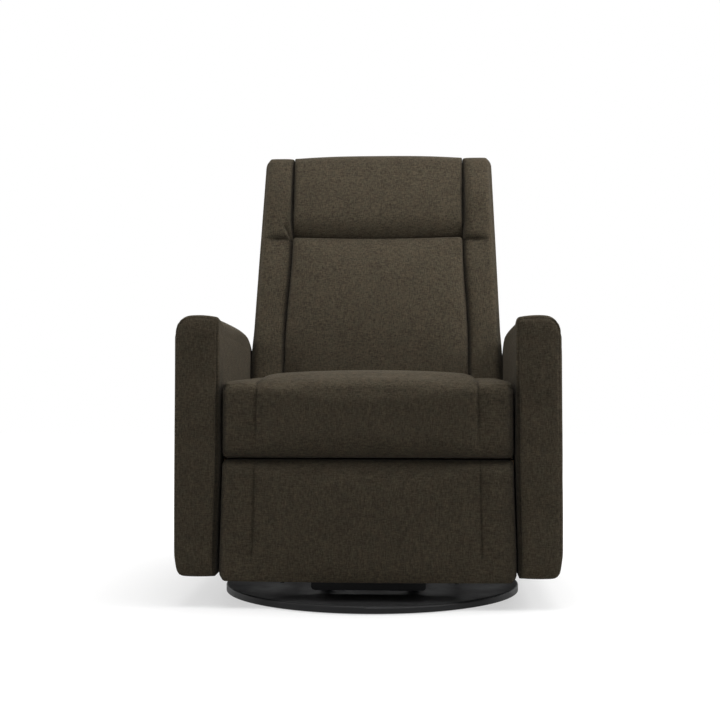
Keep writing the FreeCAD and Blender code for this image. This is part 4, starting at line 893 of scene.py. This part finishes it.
def bolster(name, sign):
    """Side of the back: a narrow pad that wraps the post, with a tuck at the head seam."""
    low, high, front = 38.0, BACK_TOP + 1.0, PAD_FRONT + 1
    inner, outer = 0.0, 86.0
    wrap = 48.5                 # inside this width the rear is hollow, round the post
    xs = grid_lines(inner, outer, step=3.2,
                    marks=within(26, (outer, -1)) + [wrap - STEP_HALF, wrap + STEP_HALF])
    ys = grid_lines(front, CAP_REAR, step=8, marks=within(22, (front, 1)) + [PAD_REAR])
    zs = grid_lines(low, high, step=8, marks=beside(TUCK, spread=TUCK_LINES) + CAP_LINES
                    + within(26, (high, -1)) + within(10, (low, 1)))
    form = Form(f"bolster_{name}_cloth", xs, ys, zs)
    p, drawn = form.points, form.drawn
    x, y, z = drawn.T
    face, top, bottom = (Y, front, 1), (Z, high, -1), (Z, low, 1)
    inside, outside, rear = (X, inner, 1), (X, outer, -1), (Y, CAP_REAR, -1)
    round_edge(p, outside, top, radius=18)
    round_edge(p, inside, top, radius=2.5)
    round_edge(p, face, inside, radius=12)
    round_edge(p, face, outside, radius=20)
    round_edge(p, face, top, radius=16)
    round_edge(p, face, bottom, radius=10)
    round_edge(p, outside, rear, radius=5)
    round_edge(p, rear, top, radius=6)
    hollow = (y > PAD_REAR) & (x < wrap) & (z < CAP_HEIGHT)
    p[hollow, Y] = PAD_REAR
    ahead = at_face(drawn, face, reach=40)
    across = np.minimum(x - inner, outer - x)
    # the tuck on the right runs a little downwards as it goes out
    above = z - TUCK + (0.05 * x if sign > 0 else 0)
    tuck = 1 - smooth(x, 36, 82)
    p[:, Y] -= ahead * 4.0 * dome(across, margin=34) * dome(high - z, margin=40)
    p[:, Y] += ahead * 5.0 * np.clip(1 - x / 30, 0, 1) ** 2 * dome(high - z, margin=90)
    # painted shade along the inner seam, wider near the tuck
    form.shade(x, width=10 + 9 * bell(above - 45, width=50),
               strength=0.6 * ahead * dome(high - z, margin=60))
    # the cloth above the tuck is fullest well above it and rolls in to it, and the cloth
    # below comes out again at once
    p[:, Y] -= ahead * 13.0 * bell(above - 115, width=70) * dome(across, margin=30)
    rolled = np.where(above > 0, 7.0 * np.clip(1 - above / 26, 0, 1) ** 2,
                      7.0 * bell(above, width=42))
    p[:, Y] += ahead * rolled * tuck
    p[:, Z] += smooth(z, high - 40, high) * (1.0 + 2.0 * dome(across, margin=30))
    deep = np.where(y < PAD_REAR - 20, tuck * ahead, 0.0)
    form.add_seam(np.abs(above), depth=3.0, width=4.0, strength=0.5 * deep)
    # painted shade above and below the tuck, deepest over it where the cloth rolls in
    form.shade(np.where(above > 0, above, -2.5 * above), width=11, strength=0.75 * deep)
    # painted shade where the arm and the seat stand close, and over the low part of the back
    form.shade(outer - x, width=5 + 17 * (1 - smooth(z, 240, 360)),
               strength=(0.2 + 0.6 * (1 - smooth(z, 310, 420))) * ahead)
    form.shade(np.maximum(z - FULL_PAINTED_SHADE_BELOW, 0), width=80, strength=0.25 * ahead)
    pucker = to_line(drawn[:, (X, Z)], (20, TUCK + 30), (6, TUCK + 7))
    depth = 5.0 if sign < 0 else 1.0
    form.crease = np.maximum(form.crease, depth * ahead * bell(pucker, width=4.5))
    # painted shade in the pucker's crease
    form.shade(pucker, width=5, strength=(0.6 if sign < 0 else 0.1) * ahead)
    out_side = smooth(x, outer - 12, outer)
    p[:, X] += out_side * 2.0 * dome(np.minimum(y - front, CAP_REAR - y), margin=30)
    inner_x = seam_half(z) + 0.4
    outer_x = BACK_HALF - taper(z) + 3.5 * (1 - smooth(z, 240, 330))
    p[:, X] = inner_x + (p[:, X] - inner) / (outer - inner) * (outer_x - inner_x)
    hidden = (x <= inner + ON_FACE) | (y >= CAP_REAR - ON_FACE) | hollow
    form.hold(hidden | (z <= low + ON_FACE))
    form.carve()
    form.set_side(sign)
    finish_soft(form, "back", node=f"back_bolster_{name}", turn=BACK_TURN)
    puff(form, pressure=1.0, cap=3.0)


def outer_panel():
    """Covered panel on the back, with a welted seam round it."""
    low, high, front, rear = BACK_BOTTOM, 755.0, 47.5, 67.0
    half, inset = 285.0, 9.0
    xs = grid_lines(-half, half, step=12, marks=within(8, *ends(half))
                    + beside(inset - half, half - inset, spread=(0, 2, 5)))
    ys = grid_lines(front, rear, step=5, marks=within(8, (rear, -1)))
    zs = grid_lines(low, high, step=12, marks=within(8, (low, 1), (high, -1))
                    + beside(low + inset, high - inset, spread=(0, 2, 5)))
    form = Form("outer_back_cloth", xs, ys, zs)
    p, drawn = form.points, form.drawn
    x, y, z = drawn.T
    face = (Y, rear, -1)
    top, bottom = (Z, high, -1), (Z, low, 1)
    for side in sides(half):
        round_edge(p, top, side, radius=18)
        round_edge(p, bottom, side, radius=8)
        round_edge(p, face, side, radius=8)
    round_edge(p, face, top, radius=8)
    round_edge(p, face, bottom, radius=8)
    edge = np.minimum.reduce([half - np.abs(x), z - low, high - z])
    # low down it stays flat, because it passes close to the apron as the back reclines
    upper = smooth(z, 80, 260)
    full = 6.0 * dome(edge - inset, margin=120) * upper - 2.0
    p[:, Y] += smooth(y, rear - 9, rear) * full
    form.add_seam(np.hypot(edge - inset, rear - y), depth=2.2, width=2.6)
    p[:, X] *= (half - taper(z)) / half
    form.hold((y <= front + ON_FACE) | (edge < ON_FACE) | (z < 200))
    form.carve()
    finish_soft(form, "back", node="back_outer_panel", turn=BACK_TURN)
    puff(form, pressure=0.6, cap=3.0)


def rear_apron():
    """Covered panel low down between the backs of the arms."""
    low, high, front, rear = 72.0, 206.0, 290.0, 303.0
    half = 294.5
    xs = grid_lines(-half, half, step=9, marks=within(5, *ends(half)))
    ys = grid_lines(front, rear, step=5, marks=within(6, (rear, -1)) + within(4, (front, 1)))
    zs = grid_lines(low, high, step=9, marks=within(6, (low, 1), (high, -1)))
    form = Form("apron_cloth", xs, ys, zs)
    p, drawn = form.points, form.drawn
    x, y, z = drawn.T
    for face in ((Y, rear, -1), (Y, front, 1)):
        for side in ((Z, high, -1), (Z, low, 1)):
            round_edge(p, face, side, radius=6)
    edge = np.minimum(z - low, high - z)
    p[:, Y] += smooth(y, rear - 8, rear) * 2.5 * dome(edge, margin=50)
    form.hold((y <= front + ON_FACE) | (half - np.abs(x) < ON_FACE) | (edge < 9))
    form.carve()
    finish_soft(form, "chair", node="rear_apron")
    puff(form, pressure=0.5, cap=2.0)


# ------------ arms
# Drawn with the inner face at x = 0; the place of the inner face is added last.

ARM_IN, ARM_THICK = 295.0, 89.0
ARM_FRONT, ARM_BACK = -255.0, 360.0
ARM_LOW, ARM_HIGH = 62.0, 575.0
ARM_SLOPE = math.tan(math.radians(4.1))
ARM_BACK_RADIUS = 188.0
WELT = 4.6                      # how far the front seam lies inside the outline
SIDE_SEAM = 30.0                # how far the side seam lies below the top
# the handle's bezel and the cup inside it, on the outer side
LIP_Y, LIP_Z = (-95.0, 55.0), (392.0, 458.0)
CUP_Y, CUP_Z = (-88.0, 48.0), (399.0, 451.0)
CUP_DEEP, LIP_BACK = 20.6, 89.7


def inside_box(drawn, across, upward, margin=0.0):
    """Which points lie in a rectangle of the arm's side, with a margin round it."""
    return ((drawn[:, Y] > across[0] - margin) & (drawn[:, Y] < across[1] + margin)
            & (drawn[:, Z] > upward[0] - margin) & (drawn[:, Z] < upward[1] + margin))


def arm_lines(has_cup):
    """Grid lines of an arm, with pairs of lines at the walls of the handle's cup."""
    walls_y, walls_z = [], []
    if has_cup:
        walls_y = [wall + side for wall in CUP_Y for side in (-0.5, 0.5)]
        walls_z = [wall + side for wall in CUP_Z for side in (-0.5, 0.5)]
    xs = grid_lines(0, ARM_THICK, step=7, marks=within(22, (0, 1)) + within(34, (ARM_THICK, -1))
                    + beside(WELT, ARM_THICK - WELT, spread=(0, 1.5, 3)))
    ys = grid_lines(ARM_FRONT, ARM_BACK, step=10,
                    marks=within(12, (ARM_FRONT, 1)) + [ARM_FRONT + 3] + walls_y
                    + beside(ARM_BACK - SIDE_SEAM, spread=(0, 1.8, 5)))
    zs = grid_lines(ARM_LOW, ARM_HIGH, step=10, marks=within(28, (ARM_LOW, 1)) + walls_z
                    + within(36, (ARM_HIGH, -1))
                    + beside(ARM_HIGH - WELT, ARM_HIGH - SIDE_SEAM, spread=(0, 1.5, 4)))
    return xs, ys, zs


def arm(name, sign):
    """Arm: front panel with a welt, a boxing that rolls over the top, and two side panels."""
    has_cup = sign < 0
    form = Form(f"arm_{name}_cloth", *arm_lines(has_cup))
    p, drawn = form.points, form.drawn
    x, y, z = drawn.T
    face, back = (Y, ARM_FRONT, 1), (Y, ARM_BACK, -1)
    top, bottom = (Z, ARM_HIGH, -1), (Z, ARM_LOW, 1)
    inside, outside = (X, 0.0, 1), (X, ARM_THICK, -1)
    to_front = y - ARM_FRONT
    to_top = ARM_HIGH - z
    to_back = ARM_BACK - y
    round_edge(p, outside, top, radius=28)
    round_edge(p, inside, top,
               radius=6 + 13 * smooth(to_front, 0, 90) - 7 * smooth(to_front, 200, 420))
    round_edge(p, outside, back, radius=26)
    round_edge(p, inside, back, radius=12)
    round_edge(p, outside, bottom, radius=14)
    round_edge(p, inside, bottom, radius=1.5)
    for side in (outside, top, bottom):
        round_edge(p, face, side, radius=6)
    round_edge(p, face, inside,
               radius=12 - 6 * smooth(z, 400, 480) - 9 * (1 - smooth(z, ARM_LOW, ARM_LOW + 50)))
    # each panel is fullest away from its seams
    inset = np.minimum.reduce([x, ARM_THICK - x, to_top])
    on_face = np.where(to_front < ON_FACE, 1.0, 0.0)
    p[:, Y] -= on_face * 3.0 * dome(np.minimum(inset, z - ARM_LOW) - WELT, margin=30)
    across = 1 - ((x - 0.48 * ARM_THICK) / (0.55 * ARM_THICK)) ** 2
    roll = (3.0 * dome(to_front, margin=26)
            + 6.5 * smooth(to_front, 0, 300) * smooth(to_back, 0, 300))
    lift = 0.8 if sign < 0 else -0.2
    p[:, Z] += smooth(-to_top, -60, 0) * (lift + 6.5 * across + roll)
    p[:, Z] -= (1 - smooth(z, ARM_LOW, ARM_LOW + 20)) * (1.6 * across - 1.2)
    # the back is as full as the top where the two meet
    behind = smooth(-to_back, -60, 0) * smooth(z, 330, 560)
    p[:, Y] += behind * (lift + 6.5 * across + 3.0)
    # both sides draw in towards the foot
    foot = 1 - smooth(z, ARM_LOW, ARM_LOW + 48)
    p[:, X] -= 5.5 * foot * smooth(x, 40, ARM_THICK)
    leg = (1 - smooth(z, ARM_LOW, 330)) * (1 - smooth(to_front, 60, 220))
    set_out = 7.5 if sign < 0 else 5.0
    p[:, X] += set_out * leg * (1 - smooth(x, 0, 60))
    side_edge = np.minimum.reduce([to_front, z - ARM_LOW, to_top - SIDE_SEAM,
                                   to_back - SIDE_SEAM])
    flat_out, flat_in = x > ARM_THICK - ON_FACE, x < ON_FACE
    p[:, X] += np.where(flat_out, 3.0 * dome(side_edge, margin=70), 0)
    p[:, X] += smooth(x, 40, ARM_THICK) * (1.0 - 2.0 * smooth(z, 180, 540))
    p[:, X] -= np.where(flat_in, 1.5 * dome(side_edge, margin=60), 0)
    edge_on = np.hypot(inset - WELT, to_front)
    sewn = smooth(z, ARM_LOW, ARM_LOW + 40) * np.where(x > 60, 0.35, 0.7)
    sewn = sewn * (1 - 0.4 * smooth(z, 520, 560))
    form.add_seam(edge_on, depth=2.0, width=2.2, strength=sewn)
    # painted shade in the gap beside the seat: deep on the welt's inner strip, softer on the face
    # beside it
    beside_seat = 1 - smooth(z, 430, 500)
    from_welt = np.maximum(x - WELT, 0)
    form.shade(np.hypot(from_welt, to_front / 3), width=5, strength=0.2 + 0.15 * beside_seat)
    form.shade(np.hypot(2 * from_welt, to_front / 5), width=3, strength=beside_seat)
    # painted shade where the front corner of the seat presses
    pressed = np.hypot(y - SEAT_CORNER[0], z - SEAT_CORNER[1])
    form.shade(np.where(flat_in, pressed, FAR), width=38, strength=0.6)
    to_side_seam = np.abs(np.minimum(to_top, to_back) - SIDE_SEAM)
    form.add_seam(np.where(flat_out & (to_front > 3), to_side_seam, FAR), depth=1.8, width=2.8)
    if has_cup:
        beneath = flat_out & inside_box(drawn, LIP_Y, LIP_Z, 12)
        p[beneath, X] = LIP_BACK
        p[flat_out & inside_box(drawn, CUP_Y, CUP_Z), X] = LIP_BACK - CUP_DEEP
        form.hold(beneath)
    # the large round corner at the back of the top, then the slope of the top
    round_edge(p, back, top, radius=ARM_BACK_RADIUS)
    sink = (p[:, Y] - ARM_FRONT) * ARM_SLOPE
    sink *= np.clip((p[:, Z] - ARM_LOW) / (ARM_HIGH - ARM_LOW), 0, None)
    if has_cup:
        # the cloth round the handle's cup keeps its height
        off_y = np.maximum(LIP_Y[0] - y, y - LIP_Y[1])
        off_z = np.maximum(LIP_Z[0] - z, z - LIP_Z[1])
        off = np.hypot(np.maximum(off_y, 0), np.maximum(off_z, 0))
        sink *= np.where(flat_out, smooth(off, 14, 75), 1.0)
    p[:, Z] -= sink
    form.hold((z <= ARM_LOW + ON_FACE) | (flat_in & (z < 430)))
    form.hold((to_front < 14) & ((inset < 14) | (to_front > ON_FACE)))
    form.hold(flat_in | (to_top < ON_FACE))
    form.carve()
    p[:, X] += ARM_IN
    form.set_side(sign)
    under = (drawn[form.faces][:, :, Z] <= ARM_LOW + ON_FACE).all(axis=1)
    finish_soft(form, "chair", node=f"arm_{name}", bottom=under)
    puff(form, pressure=0.5, cap=1.6)


# ------------ build

scene.view_settings.view_transform = "Standard"
add_camera()
add_lamps()
add_world()
add_floor()
dress_nodes()
seat_cushion()
footrest_pad()
headrest()
lumbar_cushion()
bolster("left", -1)
bolster("right", 1)
outer_panel()
rear_apron()
arm("left", -1)
arm("right", 1)
run_puffing()
